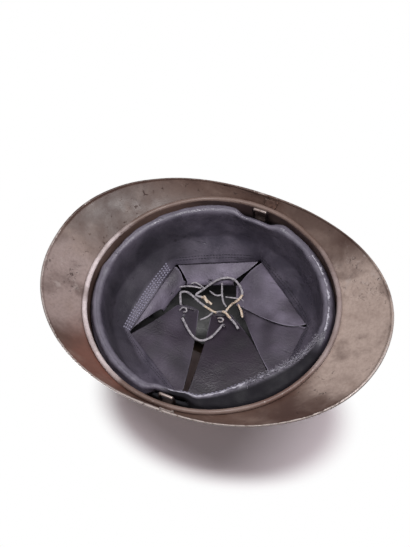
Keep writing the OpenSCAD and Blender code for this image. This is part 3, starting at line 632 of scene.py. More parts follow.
def slot_block():
    """What the vent slot takes out of the crown."""
    half, reach = 0.0045, 0.0405
    t = np.linspace(0, np.pi, 13)
    ring = [(half * math.cos(x), MID_Y + reach + half * math.sin(x)) for x in t]
    ring += [(-half * math.cos(x), MID_Y - reach - half * math.sin(x)) for x in t]
    p = [(x, y, z) for z in (0.105, 0.135) for x, y in ring]
    n = len(ring)
    faces = [list(range(n))[::-1], list(range(n, 2 * n))]
    faces += [(i, (i + 1) % n, n + (i + 1) % n, n + i) for i in range(n)]
    return mesh_of("slot_block", p, faces, soft=False)


make_bowl()

# Brim: the same lines as in the part's source, with more points along them
SEAM_A = math.asin(-MID_Y / REAR)
SHOULDER_U = 2 * BEAD_R - STEEL + SEAT + STEEL / 2
SHOULDER_W = BEAD_R * math.sin(math.radians(20)) + SEAT + STEEL
SHOULDER_RUN, BEND, NOTCH, GUARD_GAP = 0.0005, 0.0007, math.radians(0.1), 0.0008
# The visor's ends under the neck guard's slope: where they start and how long they are, as shares
# of it, and the room between the plates
LAP_A, LAP_FROM, LAP_RUN, LAP_GAP = SEAM_LAP / REAR, 0.12, 0.63, 0.0006
SHARES = np.linspace(0, 1, 15)
# Points of a ring on each side of the plate and round its hem, and rings along a plate
SIDE_POINTS, HEM_POINTS, PLATE_RINGS = 19, 12, 150


def rim_edge(a):
    n, reach = VISOR_SQUARE, FRONT + VISOR_REACH
    if math.sin(a) >= 0:
        n, reach = GUARD_SQUARE, REAR + GUARD_REACH
    x, y = (math.copysign(abs(v) ** (2 / n), v) for v in (math.cos(a), math.sin(a)))
    return np.array([(HALF_W + SIDE_REACH) * x, MID_Y + reach * y])


def slope(a, s):
    """A point of the plate's middle line: its distance out from the bowl and height over the rim."""
    end = np.linalg.norm(rim_edge(a) - plan(a)) - HEM_R
    drop = SIDE_DROP + (TIP_DROP - SIDE_DROP) * math.sin(a) ** 2
    return np.array([SHOULDER_U + SHOULDER_RUN + (end - SHOULDER_U - SHOULDER_RUN) * s,
                     SHOULDER_W - SHOULDER_RUN + (-drop - SHOULDER_W + SHOULDER_RUN) * (0.8 + 0.2 * s) * s])


def full_line(a):
    u = SEAT + STEEL / 2
    head = [[u, COLLAR_H], [u, (COLLAR_H + SHOULDER_W) / 2 + BEND], [u, SHOULDER_W + 2 * BEND],
            [u + BEND, SHOULDER_W + BEND / 2], [SHOULDER_U - SHOULDER_RUN, SHOULDER_W]]
    return np.array(head + [slope(a, s) for s in SHARES])


def shoulder_line(a):
    head = [[SHOULDER_U - SHOULDER_RUN * k, SHOULDER_W] for k in (1.5, 1.3, 1.1, 0.9, 0.7)]
    return np.array(head + [slope(a, s) for s in SHARES])


def bare_line(a):
    return np.array([slope(a, 0.04 + 0.96 * i / SIDE_POINTS) for i in range(SIDE_POINTS + 1)])


def lap_line(a):
    d = slope(a, LAP_FROM + LAP_RUN) - slope(a, LAP_FROM)
    under = np.array([d[1], -d[0]]) / np.linalg.norm(d) * (STEEL + LAP_GAP)
    return np.array([slope(a, LAP_FROM + LAP_RUN * i / SIDE_POINTS) + under for i in range(SIDE_POINTS + 1)])


def brim_ring(a, shape, r):
    """Points round the plate at a plan angle, with a hem of radius r at its outer end."""
    line = shape(a)
    dirs = unit(np.gradient(line, axis=0))
    side = (np.stack([-dirs[:, 1], dirs[:, 0]], -1) * STEEL / 2)[:-1]
    lip = math.asin(min(1, STEEL / 2 / r))
    start = math.atan2(dirs[-1, 1], dirs[-1, 0]) + math.pi - lip
    turn = start - (2 * math.pi - 2 * lip) * np.arange(HEM_POINTS) / (HEM_POINTS - 1)
    hem = line[-1] + r * np.stack([np.cos(turn), np.sin(turn)], -1)
    q = np.vstack([line[:-1] + side, hem, (line[:-1] - side)[::-1]])
    out = rim_edge(a) - plan(a)
    return np.column_stack([plan(a) + out / np.linalg.norm(out) * q[:, :1], RIM_Z + q[:, 1]])


def brim_piece(name, rings, node, seed):
    p = np.array(rings)
    m, n = p.shape[:2]
    soft = smooth(np.minimum(np.arange(m), np.arange(m)[::-1]) / 12)[:, None]
    share = np.abs(np.arange(n) - (n - 1) / 2) / ((n - 1) / 2)
    lift = waves(p.mean(1, keepdims=True) * 0.3 + p * 0.7, 0.045, seed) * 0.00022
    p[..., 2] += lift * soft * (1 - share) ** 0.5
    faces = quads(m, n, wrap_cols=True) + end_faces(m, n)
    # how far round the ring each face is
    around = [min(f) % n if max(f) - min(f) > n - 2 else f[0] % n for f in faces]
    mesh = mesh_of(name, p, [f[::-1] for f in faces], [int(k < SIDE_POINTS) for k in around])
    edge = np.zeros((m, n))
    edge[:, SIDE_POINTS - 3:SIDE_POINTS + HEM_POINTS + 3] = 0.15
    edge[:, SIDE_POINTS:SIDE_POINTS + HEM_POINTS] = np.sin(np.linspace(0, np.pi, HEM_POINTS)) ** 0.5
    edge[[0, 1, -2, -1]] = 0.8
    mark(mesh, "edge", edge)
    ends = np.minimum(*(np.linalg.norm(p - p[k].mean(0), axis=-1) for k in (0, -1)))
    mark(mesh, "seam", 1 - smooth(ends / 0.012))
    shown(mesh, "brim_steel", BRIM, OUTSIDE, replaces=node)


def make_brim():
    # the rings of one end of the visor, from its tip on; the other end mirrors them
    little, thin = math.radians(0.4), STEEL / 2 + 0.00002
    lap = [(SEAM_A - little + (LAP_A + little) * t, lap_line, thin) for t in np.linspace(1, 0, 8)]
    lap += [(SEAM_A - NOTCH * (1 - k), line, HEM_R) for k, line in ((0.6, bare_line), (0.3, shoulder_line))]
    first, last = math.pi - SEAM_A + NOTCH, 2 * math.pi + SEAM_A - NOTCH
    rings = [brim_ring(*row) for row in lap]
    rings += [brim_ring(a, full_line, HEM_R) for a in np.linspace(last, first, PLATE_RINGS)]
    rings += [brim_ring(math.pi - a, line, r) for a, line, r in lap[::-1]]
    brim_piece("visor_plate", rings, "visor", 11)
    first, last = SEAM_A + GUARD_GAP, math.pi - SEAM_A - GUARD_GAP
    rings = [brim_ring(a, full_line, HEM_R) for a in np.linspace(last, first, PLATE_RINGS)]
    brim_piece("neck_guard_plate", rings, "neck_guard", 12)


make_brim()

# Crest, on a path over the crown from the front to the rear, and the points of half its profile
CREST_H, CREST_W, CREST_START, FLANGE, CREST_POINTS = 0.020, 0.036, 40.0, 0.0055, 16


def ridge(t):
    b = -FRONT if t < 90 else REAR
    r = math.radians(t)
    return np.array([MID_Y + b * abs(math.cos(r)) ** (2 / FULLNESS),
                     RIM_Z + CROWN * math.sin(r) ** (2 / FULLNESS)])


def bowl_top(x, y):
    b = np.where(y < MID_Y, FRONT, REAR)
    k = np.sqrt((x / HALF_W) ** 2 + ((y - MID_Y) / b) ** 2)
    return RIM_Z + CROWN * (1 - k**FULLNESS) ** (1 / FULLNESS)


def smooth_line(points):
    """A soft curve through the corners of half a profile."""
    p = spline(points, 8)
    run = lengths(p * [1, 0.012])
    s = np.linspace(0, run[-1], CREST_POINTS)
    return np.stack([np.interp(s, run, p[:, 0]), np.interp(s, run, p[:, 1])], -1)


def make_crest():
    rings = []
    for t in np.linspace(CREST_START, 180 - CREST_START, 111):
        s = (t - 90) / (90 - CREST_START)
        rise = (CREST_H - STEEL - SEAT) * (1 - abs(s) ** 5)
        w = CREST_W / 2 * (1 - 0.35 * abs(s) ** 8)
        f = w - FLANGE
        outer = smooth_line([[w, 0], [f + 0.0004, 0], [f * 0.62, 0.2], [f * 0.42, 0.6],
                             [f * 0.33, 0.92], [f * 0.14, 1]])
        inner = smooth_line([[w, 0], [f, 0], [f * 0.62 - 0.0006, 0.18], [f * 0.42 - 0.0008, 0.57],
                             [f * 0.33 - 0.0008, 0.9], [f * 0.14 - 0.0003, 0.985]])
        base, d = ridge(t), ridge(t + 0.5) - ridge(t - 0.5)
        n = np.array([-d[1], d[0]]) / np.linalg.norm(d)

        def at(x, h):
            curve = float(bowl_top(x, base[0]) - bowl_top(0.0, base[0]))
            return [x, base[0] + n[0] * h, base[1] + n[1] * h + curve]

        around = ((outer, 1, SEAT + STEEL), (outer[::-1], -1, SEAT + STEEL), (inner, -1, SEAT),
                  (inner[::-1], 1, SEAT))
        rings.append([at(side * x, low + rise * h) for line, side, low in around for x, h in line])
    m, n = len(rings), len(rings[0])
    mesh = mesh_of("crest_plate", rings, quads(m, n, wrap_cols=True) + end_faces(m, n))
    edge, top = np.zeros((m, n)), CREST_POINTS
    edge[:, top - 4:top + 4] = 0.5
    edge[:, [0, 1, 2 * top - 2, 2 * top - 1]] = 0.8
    edge[[0, 1, -2, -1]] = 0.8
    mark(mesh, "edge", edge)
    shown(mesh, "bowl_steel", OUTSIDE, replaces="crest")


make_crest()


# Liner
def corner(k):
    a, r = CORNERS[k % 6]
    a = math.radians(a)
    return HEX_C + HEX_R * r * np.array([math.cos(a), math.sin(a)])


def cross2(p, q):
    return p[..., 0] * q[..., 1] - p[..., 1] * q[..., 0]


def hexagon_point(a):
    """Where the headband's upper edge is for a plan angle of the bowl."""
    v = unit(plan(a, BAND_INSET) - HEX_C)
    best = np.full(v.shape[:-1], 1e9)
    for k in range(6):
        e = corner(k + 1) - corner(k)
        t = cross2(corner(k) - HEX_C, e) / cross2(v, e)
        best = np.where((t > 0) & (t < best), t, best)
    return HEX_C + v * best[..., None]


def near_bail(a):
    """1 beside a bail, 0 away from it."""
    out = np.zeros_like(a)
    for middle in (math.radians(3.3), math.radians(176.7)):
        d = np.abs((a - middle + np.pi) % (2 * np.pi) - np.pi)
        out = np.maximum(out, 1 - smooth((d - math.radians(6.5)) / math.radians(8)))
    return out


def pulled(a):
    """1 where the lower edge is pulled in most, 0 away from it."""
    middle, half = 130, 52
    d = np.abs(np.degrees(a) - middle)
    return np.where(d < half, np.cos(np.radians(np.minimum(d, half) * 90 / half)) ** 2, 0)


# Points of the headband's profile: down the wall, round the roll's near side, along its crown,
# round its far side and up the flap. From SOFTENED on they are evened out. WALL_END is the height
# over the rim at which the wall goes over into the roll.
UPPER, INNER, TOP, OUTER, FLAP = 37, 11, 9, 10, 10
ROLL, SOFTENED, WALL_END = UPPER + INNER, 33, 0.0095


def band_profile(a):
    """For each angle, the leather's middle line from the upper edge down, round the soft roll, and
    out to the wall: distances in from the bowl's outside, and heights over the rim."""
    far = np.linalg.norm(hexagon_point(a) - plan(a), axis=-1)[:, None]
    h = np.concatenate([np.linspace(BAND_TOP, BAND_TURN, UPPER - 15),
                        np.linspace(BAND_TURN, WALL_END, 16)[1:]])[None]
    own = HALF_W * (1 - dome_share(h)) + BAND_INSET
    drawn, fat = pulled(a)[:, None], 1 - near_bail(a)[:, None]

    def mixed(at_bail, elsewhere):
        """One value beside a bail and another elsewhere."""
        return at_bail * (1 - fat) + elsewhere * fat

    loose = BAND_PULL * drawn * smooth((BAND_TURN - h) / 0.020)
    lean = np.maximum(0, (h - BAND_TURN + 0.004) / (BAND_TOP - BAND_TURN + 0.004)) ** 1.4
    q = own + loose + (far - own) * lean
    q = q - 0.0008 * fat * smooth((0.022 - h) / 0.012)
    away = np.maximum(np.cos(a - math.radians(350)), 0)[:, None]
    r_in, r_out = mixed(0.0016, 0.0034 - 0.0017 * drawn), mixed(0.0016, 0.0031)
    q_in = BAND_INSET + BAND_PULL * drawn + mixed(0.0014, -0.0008)
    q_out = mixed(0.0104, 0.0046)
    low = BAND_LOW - mixed(0.0021, 0.0021 + 0.0020 * away)
    turn = np.linspace(0.15, math.pi / 2, INNER)[None]
    inner_q = q_in - r_in + r_in * np.cos(turn)
    inner_h = low + r_in - r_in * np.sin(turn)
    turn = np.linspace(math.pi / 2, math.pi, OUTER)[None]
    outer_q = q_out + r_out + r_out * np.cos(turn)
    outer_h = low + 0.0022 * fat * drawn + r_out - r_out * np.sin(turn)
    t = np.linspace(0, 1, TOP + 2)[None, 1:-1]
    top_q = inner_q[:, -1:] * (1 - t) + outer_q[:, :1] * t
    top_h = inner_h[:, -1:] * (1 - smooth(t)) + outer_h[:, :1] * smooth(t)
    end_q, end_h = mixed(0.0109, 0.0025), mixed(0.0078, 0.0096)
    t = np.linspace(0, 1, FLAP + 1)[None, 1:]
    flap_q = outer_q[:, -1:] * (1 - t) + end_q * t
    flap_h = outer_h[:, -1:] * (1 - t) + end_h * t
    qs = np.hstack([q, inner_q, top_q, outer_q, flap_q])
    hs = np.hstack([np.repeat(h, len(a), 0), inner_h, top_h, outer_h, flap_h])
    k = SOFTENED
    for line in [qs, hs] * 3:
        line[:, k:-1] = (line[:, k - 1:-2] + 2 * line[:, k:-1] + line[:, k + 1:]) / 4
    return qs, hs


BAND_A = np.linspace(0, 2 * np.pi, 480, endpoint=False)


def band_surface():
    q, h = band_profile(BAND_A)
    p = plan(BAND_A)
    e = unit(hexagon_point(BAND_A) - p)
    out = p[:, None, :] + e[:, None, :] * q[..., None]
    out = np.concatenate([out, (RIM_Z + h)[..., None]], -1)
    normal = unit(np.cross(np.gradient(out, axis=1), np.roll(out, -1, 0) - np.roll(out, 1, 0)))
    n = out.shape[1]
    j = np.arange(n) - ROLL
    keep = np.ones(n)
    keep[:6] = np.linspace(0, 1, 6)
    keep[-10:] = np.linspace(1, 0.1, 10)
    stretch = out * np.array([1, 1, 0.35])
    soft = waves(stretch, 0.035, 21) * 0.0005 + waves(stretch, 0.012, 22) * 0.00024
    soft = soft + waves(out, 0.0055, 24) * 0.00012 * np.exp(-((j - 8) / 9.0) ** 2)
    calm = 1 - 0.7 * near_bail(BAND_A)[:, None]
    ragged = waves(out, 0.0042, 23) * 0.0005 * pulled(BAND_A)[:, None] ** 0.5
    ragged = ragged * np.exp(-((j + 2) / 4.0) ** 2)
    return out + normal * (soft * keep * calm + ragged)[..., None], normal


BAND_P, BAND_N = band_surface()


def make_headband():
    m, n = BAND_P.shape[:2]
    mesh = mesh_of("headband_leather", BAND_P, [f[::-1] for f in quads(m, n, wrap_rows=True)])
    j, a = np.arange(n)[None], np.degrees(BAND_A)[:, None]

    def near(middle, width):
        """1 on a row of the grid counted from the roll, 0 away from it."""
        return np.exp(-((j - ROLL - middle) / width) ** 2)

    def between(low, rise, high, fall):
        """1 between two plan angles, 0 outside them."""
        return smooth((a - low) / rise) * smooth((high - a) / fall)

    torn = between(88, 12, 184, 8)
    wear = near(-3, 3.0) * (0.25 + 0.75 * torn)
    wear = np.maximum(wear, near(-5, 5.0) * between(88, 8, 140, 12))
    # From 30 to 92 degrees, the worn flecks on the roll's crown are partly wear and partly a painted
    # highlight.
    mark(mesh, "edge", np.maximum(wear, near(9, 5.0) * between(30, 12, 92, 10) * 0.85))
    # Painted highlight along the roll's crown, weaker beside the bails and on the +Y side, and painted light
    # on the wall round the pale stitches; the paler line at the roll's inner turn is wear.
    roll = near(10, 4.5) * (1 - torn) * (1 - 0.5 * near_bail(BAND_A)[:, None])
    roll = roll * (0.68 - 0.46 * np.sin(BAND_A))[:, None]
    ladder_light = np.exp(-((a - 262) / 24) ** 4) * smooth((12 - j) / 6)
    mark(mesh, "pale", np.maximum(np.maximum(roll * 0.85, ladder_light * 0.8), 0.6 * near(-3, 4.0)))
    # painted shade on the outer face of the pulled-in edge, which lies in shade, and a darker, duller wall on
    # the front's side
    front_darker = between(200, 20, 338, 30) * smooth((j - 6) / 5) * smooth((ROLL - 9 - j) / 8)
    mark(mesh, "darkened_dull", np.maximum(smooth((j - ROLL + 1) / 4) * torn, front_darker * 0.62))
    piece = shown(mesh, "band_leather", BAND, CUT, replaces="headband")
    thickened(piece)


make_headband()

# Each tongue's tip, from one corner to the other, its height over the rim, how far its end is
# tucked in degrees, how far each side bellies out, and how much painted light it has: a tongue that faces the
# light is painted paler
TONGUES = {
    "rear_left": ((.049, -.006), (.031, .002), .057, 20, 0, .014, 0.72),
    "rear": ((.030, .007), (.022, .012), .0595, 40, -.003, .003, 0.3),
    "rear_right": ((.020, 0), (.013, -.016), .058, 20, .004, -.003, 0.0),
    "front_right": ((.013, -.028), (.011, -.048), .057, 20, .004, -.003, 0.2),
    "front": ((.003, -.061), (.036, -.054), .057, 70, .001, .002, 0.8),
    "front_left": ((.037, -.050), (.053, -.012), .057, 80, 0, .003, 0.95)}
# The tongues whose holes the lace runs through
THREADED = "rear_right", "front_right"
SLIT, BACK, LAP, ALONG, TUCK_R, TUCK_ROWS = 0.0015, 0.0013, 0.004, 8, 0.005, 3
# Points along and across a tongue's grid, and its hole: radius and middle row, if threaded or not
GRID, HOLE_R, HOLE_ROWS = (67, 57), 0.0014, (42, 51)


def tongue_middle(n, row, i, w):
    """Middle of the leather at a row i, which may be a fraction, and a share w across."""
    tip_a, tip_b, tip_h, tuck, belly_a, belly_b, _ = row
    tip_a, tip_b = np.array(tip_a), np.array(tip_b)
    e = corner(n + 1) - corner(n)
    side = e / np.linalg.norm(e)
    inward = np.array([side[1], -side[0]])
    back = BACK * inward
    root_a, root_b = corner(n) + side * SLIT + back, corner(n + 1) - side * SLIT + back
    run = (tip_a + tip_b - root_a - root_b) / 2
    d = np.linalg.norm(run)
    v = np.clip((i - 1) / (ALONG - 1), 0, 1)
    root_h = BAND_TOP + 0.0014
    bulge = min(0.004, d * 0.12)
    lead = math.atan((tip_h - root_h + bulge * math.pi) / d)
    t = lead + math.radians(tuck) * np.maximum(0, i - ALONG) / TUCK_ROWS
    lap = np.clip(1 - i, 0, 1)[..., None]
    on = (root_a * (1 - w[..., None]) + root_b * w[..., None]) * (1 - v[..., None])
    on = on + (tip_a * (1 - w[..., None]) + tip_b * w[..., None]) * v[..., None]
    on = on + side * ((belly_b * w - belly_a * (1 - w)) * np.sin(np.pi * v))[..., None]
    on = on + lap * inward * LAP + (1 - lap) * run / d * (TUCK_R * (np.sin(t) - math.sin(lead)))[..., None]
    h = root_h + (tip_h - root_h) * v - bulge * np.sin(np.pi * v) + TUCK_R * (math.cos(lead) - np.cos(t))
    h = h * (1 - lap[..., 0]) + (root_h - LAP) * lap[..., 0]
    return np.concatenate([on, (RIM_Z + h + 0.0015 * (2 * w - 1) ** 2 * v)[..., None]], -1)


def punched(p, r):
    """The faces of a grid with a round hole in the middle of row r: four by four faces left out,
    and the sixteen points round them put on a circle."""
    rows, cols = p.shape[:2]
    c = cols // 2
    gap = {(r + y) * (cols - 1) + c + x for y in range(-2, 2) for x in range(-2, 2)}
    ahead, aside = unit(p[r + 1, c] - p[r - 1, c]), unit(p[r, c + 1] - p[r, c - 1])
    for y in range(-2, 3):
        for x in range(-2, 3):
            if max(abs(x), abs(y)) == 2:
                p[r + y, c + x] = p[r, c] + HOLE_R * (ahead * y + aside * x) / math.hypot(x, y)
    return [f for k, f in enumerate(quads(rows, cols)) if k not in gap]


def make_tongues():
    rows, cols = GRID
    last, narrows = ALONG + TUCK_ROWS, 7.4
    across = np.linspace(-1, 1, cols)[None]
    across = 0.5 + np.sign(across) * (1 - (1 - np.abs(across)) ** 1.35) / 2
    i, across = np.broadcast_arrays(np.linspace(0, last, rows)[:, None], across)
    for n, (name, row) in enumerate(TONGUES.items()):
        threaded, painted_light, w = name in THREADED, row[-1], across
        if threaded:
            s = np.clip((i - narrows) / (last - narrows), 0, 1)
            w = 0.5 + (w - 0.5) * (0.22 + 0.78 * (1 - s**2.6) ** 0.5)
        p = tongue_middle(n, row, i, w)
        if name == "rear":
            p[..., 2] += 0.0026 * np.sin(np.pi * np.clip((i - 1) / (ALONG - 1), 0, 1)) * (1 - w)
        normal = unit(np.cross(np.gradient(p, axis=0), np.gradient(p, axis=1)))
        u, v = 2 * w - 1, np.clip((i - 1) / 10, 0, 1)
        pillow = 0.0014 * (1 - u**2) * np.sin(np.pi * np.clip(v * 1.1, 0, 1)) ** 0.7
        pillow = pillow + waves(p * np.array([1, 1, 0.5]), 0.022, 30 + n) * 0.00022
        p = p - normal * pillow[..., None]
        faces = punched(p, HOLE_ROWS[0 if threaded else 1])
        mesh = mesh_of("tongue_" + name + "_leather", p, faces)
        border = np.maximum(smooth((np.abs(2 * across - 1) - 0.95) / 0.04), smooth((i - 10.3) / 0.5))
        if threaded:
            border = border * np.clip((i - 6) / 1.5, 0, 1) * 0.8
        mark(mesh, "edge", border * 0.55)
        # "pale" holds the tongue's painted light and the pale border along its cut edges, worn and in part a
        # painted highlight on the curled edge.
        mark(mesh, "pale", np.maximum(painted_light * (0.75 + 0.35 * waves(p, 0.03, 60 + n)), border))
        piece = shown(mesh, "tongue_leather", TONGUE, CUT, replaces="tongue_" + name)
        thickened(piece)


make_tongues()


def make_felt():
    a = np.linspace(0, 2 * np.pi, 300, endpoint=False)
    low, high, soft, outer, inner = 0.011, 0.031, 0.001, FELT_INSET, FELT_INSET + FELT_T
    line = [(outer, low + soft), (outer, high - soft), (outer + soft, high), (inner - soft, high),
            (inner, high - soft), (inner, low + soft), (inner - soft, low), (outer + soft, low)]
    p = np.stack([wall(a, h, q) for q, h in line], 1)
    p += waves(p, 0.008, 40)[..., None] * 0.0001
    mesh = mesh_of("felt_strip", p, quads(len(a), len(line), wrap_rows=True, wrap_cols=True))
    piece = shown(mesh, "felt", FELT, replaces="felt_band")
    middle = np.stack([wall(a, h, FELT_INSET + FELT_T / 2) for h in (low, high)], 1)


make_felt()


# Rows of stitches
def rows_tree(name, sizes, seed, result):
    """The start of geometry nodes that set things along marked lines: the tree, its inputs, points
    one pitch apart, and the direction out of the leather there."""
    tree = bpy.data.node_groups.new(name, "GeometryNodeTree")
    face = tree.interface
    face.new_socket("Line", in_out="INPUT", socket_type="NodeSocketGeometry")
    for n, v in sizes.items():
        face.new_socket(n, in_out="INPUT", socket_type="NodeSocketFloat").default_value = v
    face.new_socket("Seed", in_out="INPUT", socket_type="NodeSocketInt").default_value = seed
    face.new_socket(result, in_out="OUTPUT", socket_type="NodeSocketGeometry")
    t, i = Tree(tree), tree.nodes.new("NodeGroupInput").outputs
    curve = t.out("GeometryNodeMeshToCurve", {"Mesh": i["Line"]})
    even = t.out("GeometryNodeResampleCurve", {"Curve": curve, "Length": i["Pitch"]}, mode="LENGTH")
    out = t.out("GeometryNodeInputNamedAttribute", {"Name": "outward"}, data_type="FLOAT_VECTOR")
    return t, i, even, out


def set_along(t, even, thing, turn, size, finish, soft):
    """The end of such nodes: a copy of the thing at each point."""
    put = t.out("GeometryNodeInstanceOnPoints", {"Points": even, "Instance": thing, "Rotation": turn,
                "Scale": size})
    real = t.out("GeometryNodeRealizeInstances", {0: put})
    if soft:
        real = t.out("GeometryNodeSetShadeSmooth", {0: real})
    coat = t.out("GeometryNodeSetMaterial", {"Geometry": real, "Material": finish})
    t.put(coat, t.tree.nodes.new("NodeGroupOutput").inputs[0])
    return t.tree


def stitch_tree(name, pitch, length, thick, finish):
    """Geometry nodes: short thread stitches along a marked line, lying on the leather."""
    sizes = {"Pitch": pitch, "Stitch length": length, "Thread radius": thick}
    t, i, even, out = rows_tree(name, sizes, 5, "Stitches")
    bead = t.out("GeometryNodeMeshUVSphere", {"Segments": 8, "Rings": 6, "Radius": 1.0})
    turn = t.out("FunctionNodeAlignRotationToVector", {"Vector": t.out("GeometryNodeInputTangent")}, axis="X")
    turn = t.out("FunctionNodeAlignRotationToVector", {"Rotation": turn, "Vector": out},
                 axis="Z", pivot_axis="X")
    jitter = t.add("FunctionNodeRandomValue", {2: 0.82, 3: 1.15, "Seed": i["Seed"]}, data_type="FLOAT")
    half = t.times(t.times(i["Stitch length"], 0.5), jitter.outputs[1])
    size = t.out("ShaderNodeCombineXYZ", {0: half, 1: i["Thread radius"], 2: i["Thread radius"]})
    return set_along(t, even, bead, turn, size, finish, True)


def fray_tree(finish):
    """Geometry nodes: short bent fibres that stand off a marked line."""
    t, i, even, out = rows_tree("frayed_edge", {"Pitch": 0.0007, "Fibre length": 0.0044}, 11, "Fibres")
    arc = t.out("GeometryNodeCurveQuadraticBezier", {"Resolution": 5, "Start": (0, 0, -0.1),
                "Middle": (0.1, 0, 0.5), "End": (0.75, 0.1, 0.55)})
    ring = t.out("GeometryNodeCurvePrimitiveCircle", {"Resolution": 4, "Radius": 0.05})
    fibre = t.out("GeometryNodeCurveToMesh", {"Curve": arc, "Profile Curve": ring, "Fill Caps": True})
    stand = t.out("FunctionNodeAlignRotationToVector", {"Vector": out}, axis="Z")
    spin = t.out("FunctionNodeRandomValue", {0: (-0.5, -0.5, 0.0), 1: (0.5, 0.5, 6.28), "Seed": i["Seed"]},
                 data_type="FLOAT_VECTOR")
    turn = t.out("FunctionNodeRotateRotation", {"Rotation": stand, "Rotate By": spin}, rotation_space="LOCAL")
    grow = t.add("FunctionNodeRandomValue", {2: 0.35, 3: 1.0, "Seed": i["Seed"]}, data_type="FLOAT")
    size = t.times(grow.outputs[1], i["Fibre length"])
    return set_along(t, even, fibre, turn, size, finish, False)


def band_row(side, distance, start, end):
    """Points and outward directions along one side of the hexagon, at a distance from the edge."""
    a0, a1 = CORNERS[side][0] + start, CORNERS[(side + 1) % 6][0] + (360 if side == 5 else 0) - end
    line, out = [], []
    for a in np.arange(a0, a1, 0.5):
        # the plan angle whose ray meets the hexagon in this direction
        k = math.degrees(math.atan2(math.sin(math.radians(a)) * HALF_W / REAR, math.cos(math.radians(a))))
        k = int(round(k * len(BAND_A) / 360)) % len(BAND_A)
        p, n = BAND_P[k], BAND_N[k]
        j = np.interp(distance, lengths(p), np.arange(len(p)))
        j0 = int(j)
        here = p[j0] + (p[j0 + 1] - p[j0]) * (j - j0)
        face = n[j0] * (-1 if n[j0][2] > 0 else 1)
        line.append(here + face * (LEATHER / 2 + 0.0001))
        out.append(face)
    return np.array(line), np.array(out)


def edge_row(j, start, end):
    """Points and outward directions along the drawn-in edge, on the row j of the band's grid."""
    k = np.nonzero((BAND_A > math.radians(start)) & (BAND_A < math.radians(end)))[0]
    face = BAND_N[k, j] * np.where(BAND_N[k, j, 2] > 0, -1, 1)[:, None]
    return BAND_P[k, j] + face * (LEATHER / 2), face


def grown(name, rows, tree):
    """A mesh that geometry nodes grow along rows of points."""
    points, dirs, edges = [], [], []
    for line, out in rows:
        k = len(points)
        points += line.tolist()
        dirs += out.tolist()
        edges += [(k + j, k + j + 1) for j in range(len(line) - 1)]
    mesh = bpy.data.meshes.new(name)
    mesh.from_pydata(points, edges, [])
    layer = mesh.attributes.new("outward", "FLOAT_VECTOR", "POINT")
    layer.data.foreach_set("vector", np.array(dirs, np.float32).ravel())
    piece = linked(name, mesh)
    piece.modifiers.new("rows", "NODES").node_group = tree
    finished(piece)
    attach(piece, "helmet")


def make_stitches():
    dark = [band_row(side, distance, 3, 3) for side in (0, 1, 2, 3, 5) for distance in (0.0048, 0.0074)]
    grown("stitches_dark", dark, stitch_tree("stitch_row_dark", 0.0026, 0.0022, 0.0003, THREAD))
    pale = [band_row(4, distance, 1, 5) for distance in (0.0024, 0.0046, 0.0068, 0.009)]
    grown("stitches_pale", pale, stitch_tree("stitch_row_pale", 0.0028, 0.0021, 0.00088, PALE_THREAD))
    hem = [edge_row(ROLL - 7, 92, 172)]
    grown("stitches_hem", hem, stitch_tree("stitch_row_hem", 0.0031, 0.0023, 0.00034, PALE_THREAD))
    rough = [edge_row(ROLL - k, 88, 138) for k in (1, 3, 4)]
    grown("frayed_fibres", rough, fray_tree(FRAY))


make_stitches()

# CAD pieces that stay
COATS = (("bail_clip", RUSTY), ("bail_rivets", OUTSIDE), ("crest_rivets", OUTSIDE), ("bail_", TINNED),
         ("spacer", ALUMINIUM), ("tab_", TAB_METAL))
for node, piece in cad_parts.items():
    for start, finish in COATS:
        if node.startswith(start):
            piece.data.materials.clear()
            piece.data.materials.append(finish)
            break


# Floors, lamps and world
def floor(name, centre, normal, colour, glow, middle, *axes):
    """A pale floor that only a camera on its front side sees, and that stops no light. It goes to
    plain white at the edge of an ellipse: its middle, and each axis's direction and half length."""
    turn = normal.to_track_quat("Z", "Y").to_matrix()
    p = [list(centre + turn @ Vector((x, y, 0))) for x, y in ((-3, -3), (3, -3), (3, 3), (-3, 3))]
    mesh = mesh_of(name, p, [(0, 1, 2, 3)], soft=False)
    m = bpy.data.materials.new(name)
    m.use_nodes = True
    m.node_tree.nodes.clear()
    t, white = Tree(m.node_tree), (1, 1, 1, 1)
    base = t.out("ShaderNodeBsdfDiffuse", {"Color": colour})
    shine = t.out("ShaderNodeEmission", {"Color": white, "Strength": glow})
    pale = t.out("ShaderNodeAddShader", {0: base, 1: shine})
    at = t.vector("SUBTRACT", t.add("ShaderNodeTexCoord").outputs["Object"], middle, "Vector")
    far = [t.maths("POWER", t.maths("DIVIDE", t.vector("DOT_PRODUCT", at, way, "Value"), half), 2.0)
           for way, half in axes]
    beyond = t.ramp(t.maths("SQRT", t.plus(*far)), 0.72, 1.0)
    outside = t.out("ShaderNodeEmission", {"Color": white, "Strength": 1.0})
    pale = t.out("ShaderNodeMixShader", {0: beyond, 1: pale, 2: outside})
    behind = t.add("ShaderNodeNewGeometry").outputs["Backfacing"]
    seen = t.add("ShaderNodeLightPath").outputs["Is Camera Ray"]
    share, clear = t.times(seen, t.minus(1.0, behind)), t.out("ShaderNodeBsdfTransparent")
    mix = t.out("ShaderNodeMixShader", {0: share, 1: clear, 2: pale})
    t.add("ShaderNodeOutputMaterial", {"Surface": mix})
    mesh.materials.append(m)
    linked(name, mesh)


# The photograph's ground: its direction towards the camera, and the picture's right and up on it
GROUND = Vector((-0.05, 0.10, -0.99)).normalized()
ALONG_R, ALONG_U = square_to(RIGHT, GROUND), square_to(Vector((0.8023, -0.3073, -0.5118)), GROUND)
SLANT = 0.2126
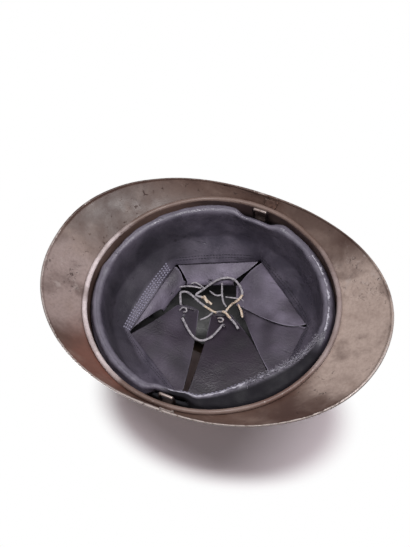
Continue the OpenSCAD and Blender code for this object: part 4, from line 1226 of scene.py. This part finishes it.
# The ellipse is drawn round the helmet's shadow: beyond it the floor is plain white emission, painted light
# that cuts the cast shadow off there.
floor("floor_photo", Vector((0, 0, 0.1455)), GROUND, (1.3, 1.14, 1.22, 1), 0.0,
      Vector((-0.032, 0.0074, 0.1475)), ((ALONG_R - ALONG_U * SLANT).normalized(), 0.1254),
      ((ALONG_U + ALONG_R * SLANT).normalized(), 0.0807))
floor("floor_shelf", Vector((0, 0, -0.0002)), Vector((0, 0, 1)), (0.72, 0.71, 0.72, 1), 0.45,
      Vector((0, 0, 0)), (Vector((1, 0, 0)), 0.46), (Vector((0, 1, 0)), 0.46))


def lamp(name, at, aim, power, size, narrow=None, along=Vector((0, 1, 0))):
    """A soft lamp: a disk, or a strip whose length runs along a direction."""
    data = bpy.data.lights.new(name, "AREA")
    data.shape, data.size, data.energy = "RECTANGLE" if narrow else "DISK", size, power
    if narrow:
        data.size_y = narrow
    back = (at - aim).normalized()
    linked(name, data).matrix_world = turned(at, square_to(along, back), back)


HEART, MIDDLE = Vector((0, 0, 0.05)), Vector((0, 0, 0.07))
lamp("lamp_photo_strip", HEART + GROUND * 0.95 + ALONG_R * 0.12 - ALONG_U * 0.03, HEART, 9.6, 1.15,
     0.12, ALONG_R)
lamp("lamp_shelf_key", Vector((-0.7, -0.9, 1.1)), MIDDLE, 11.0, 0.6)
lamp("lamp_shelf_fill", Vector((1.0, 0.7, 0.7)), MIDDLE, 5.0, 0.9)


def make_world():
    """White to the camera, dimmer in what shines, and dim as a light."""
    world = bpy.data.worlds.new("world")
    SCENE.world = world
    world.use_nodes = True
    world.node_tree.nodes.clear()
    t = Tree(world.node_tree)
    path = t.add("ShaderNodeLightPath").outputs
    seen = t.larger(path["Is Camera Ray"], t.times(path["Is Glossy Ray"], 0.35))
    strength = t.ramp(seen, 0.0, 1.0, 0.16, 1.0)
    back = t.out("ShaderNodeBackground", {"Color": (1, 1, 1, 1), "Strength": strength})
    t.add("ShaderNodeOutputWorld", {"Surface": back})


make_world()
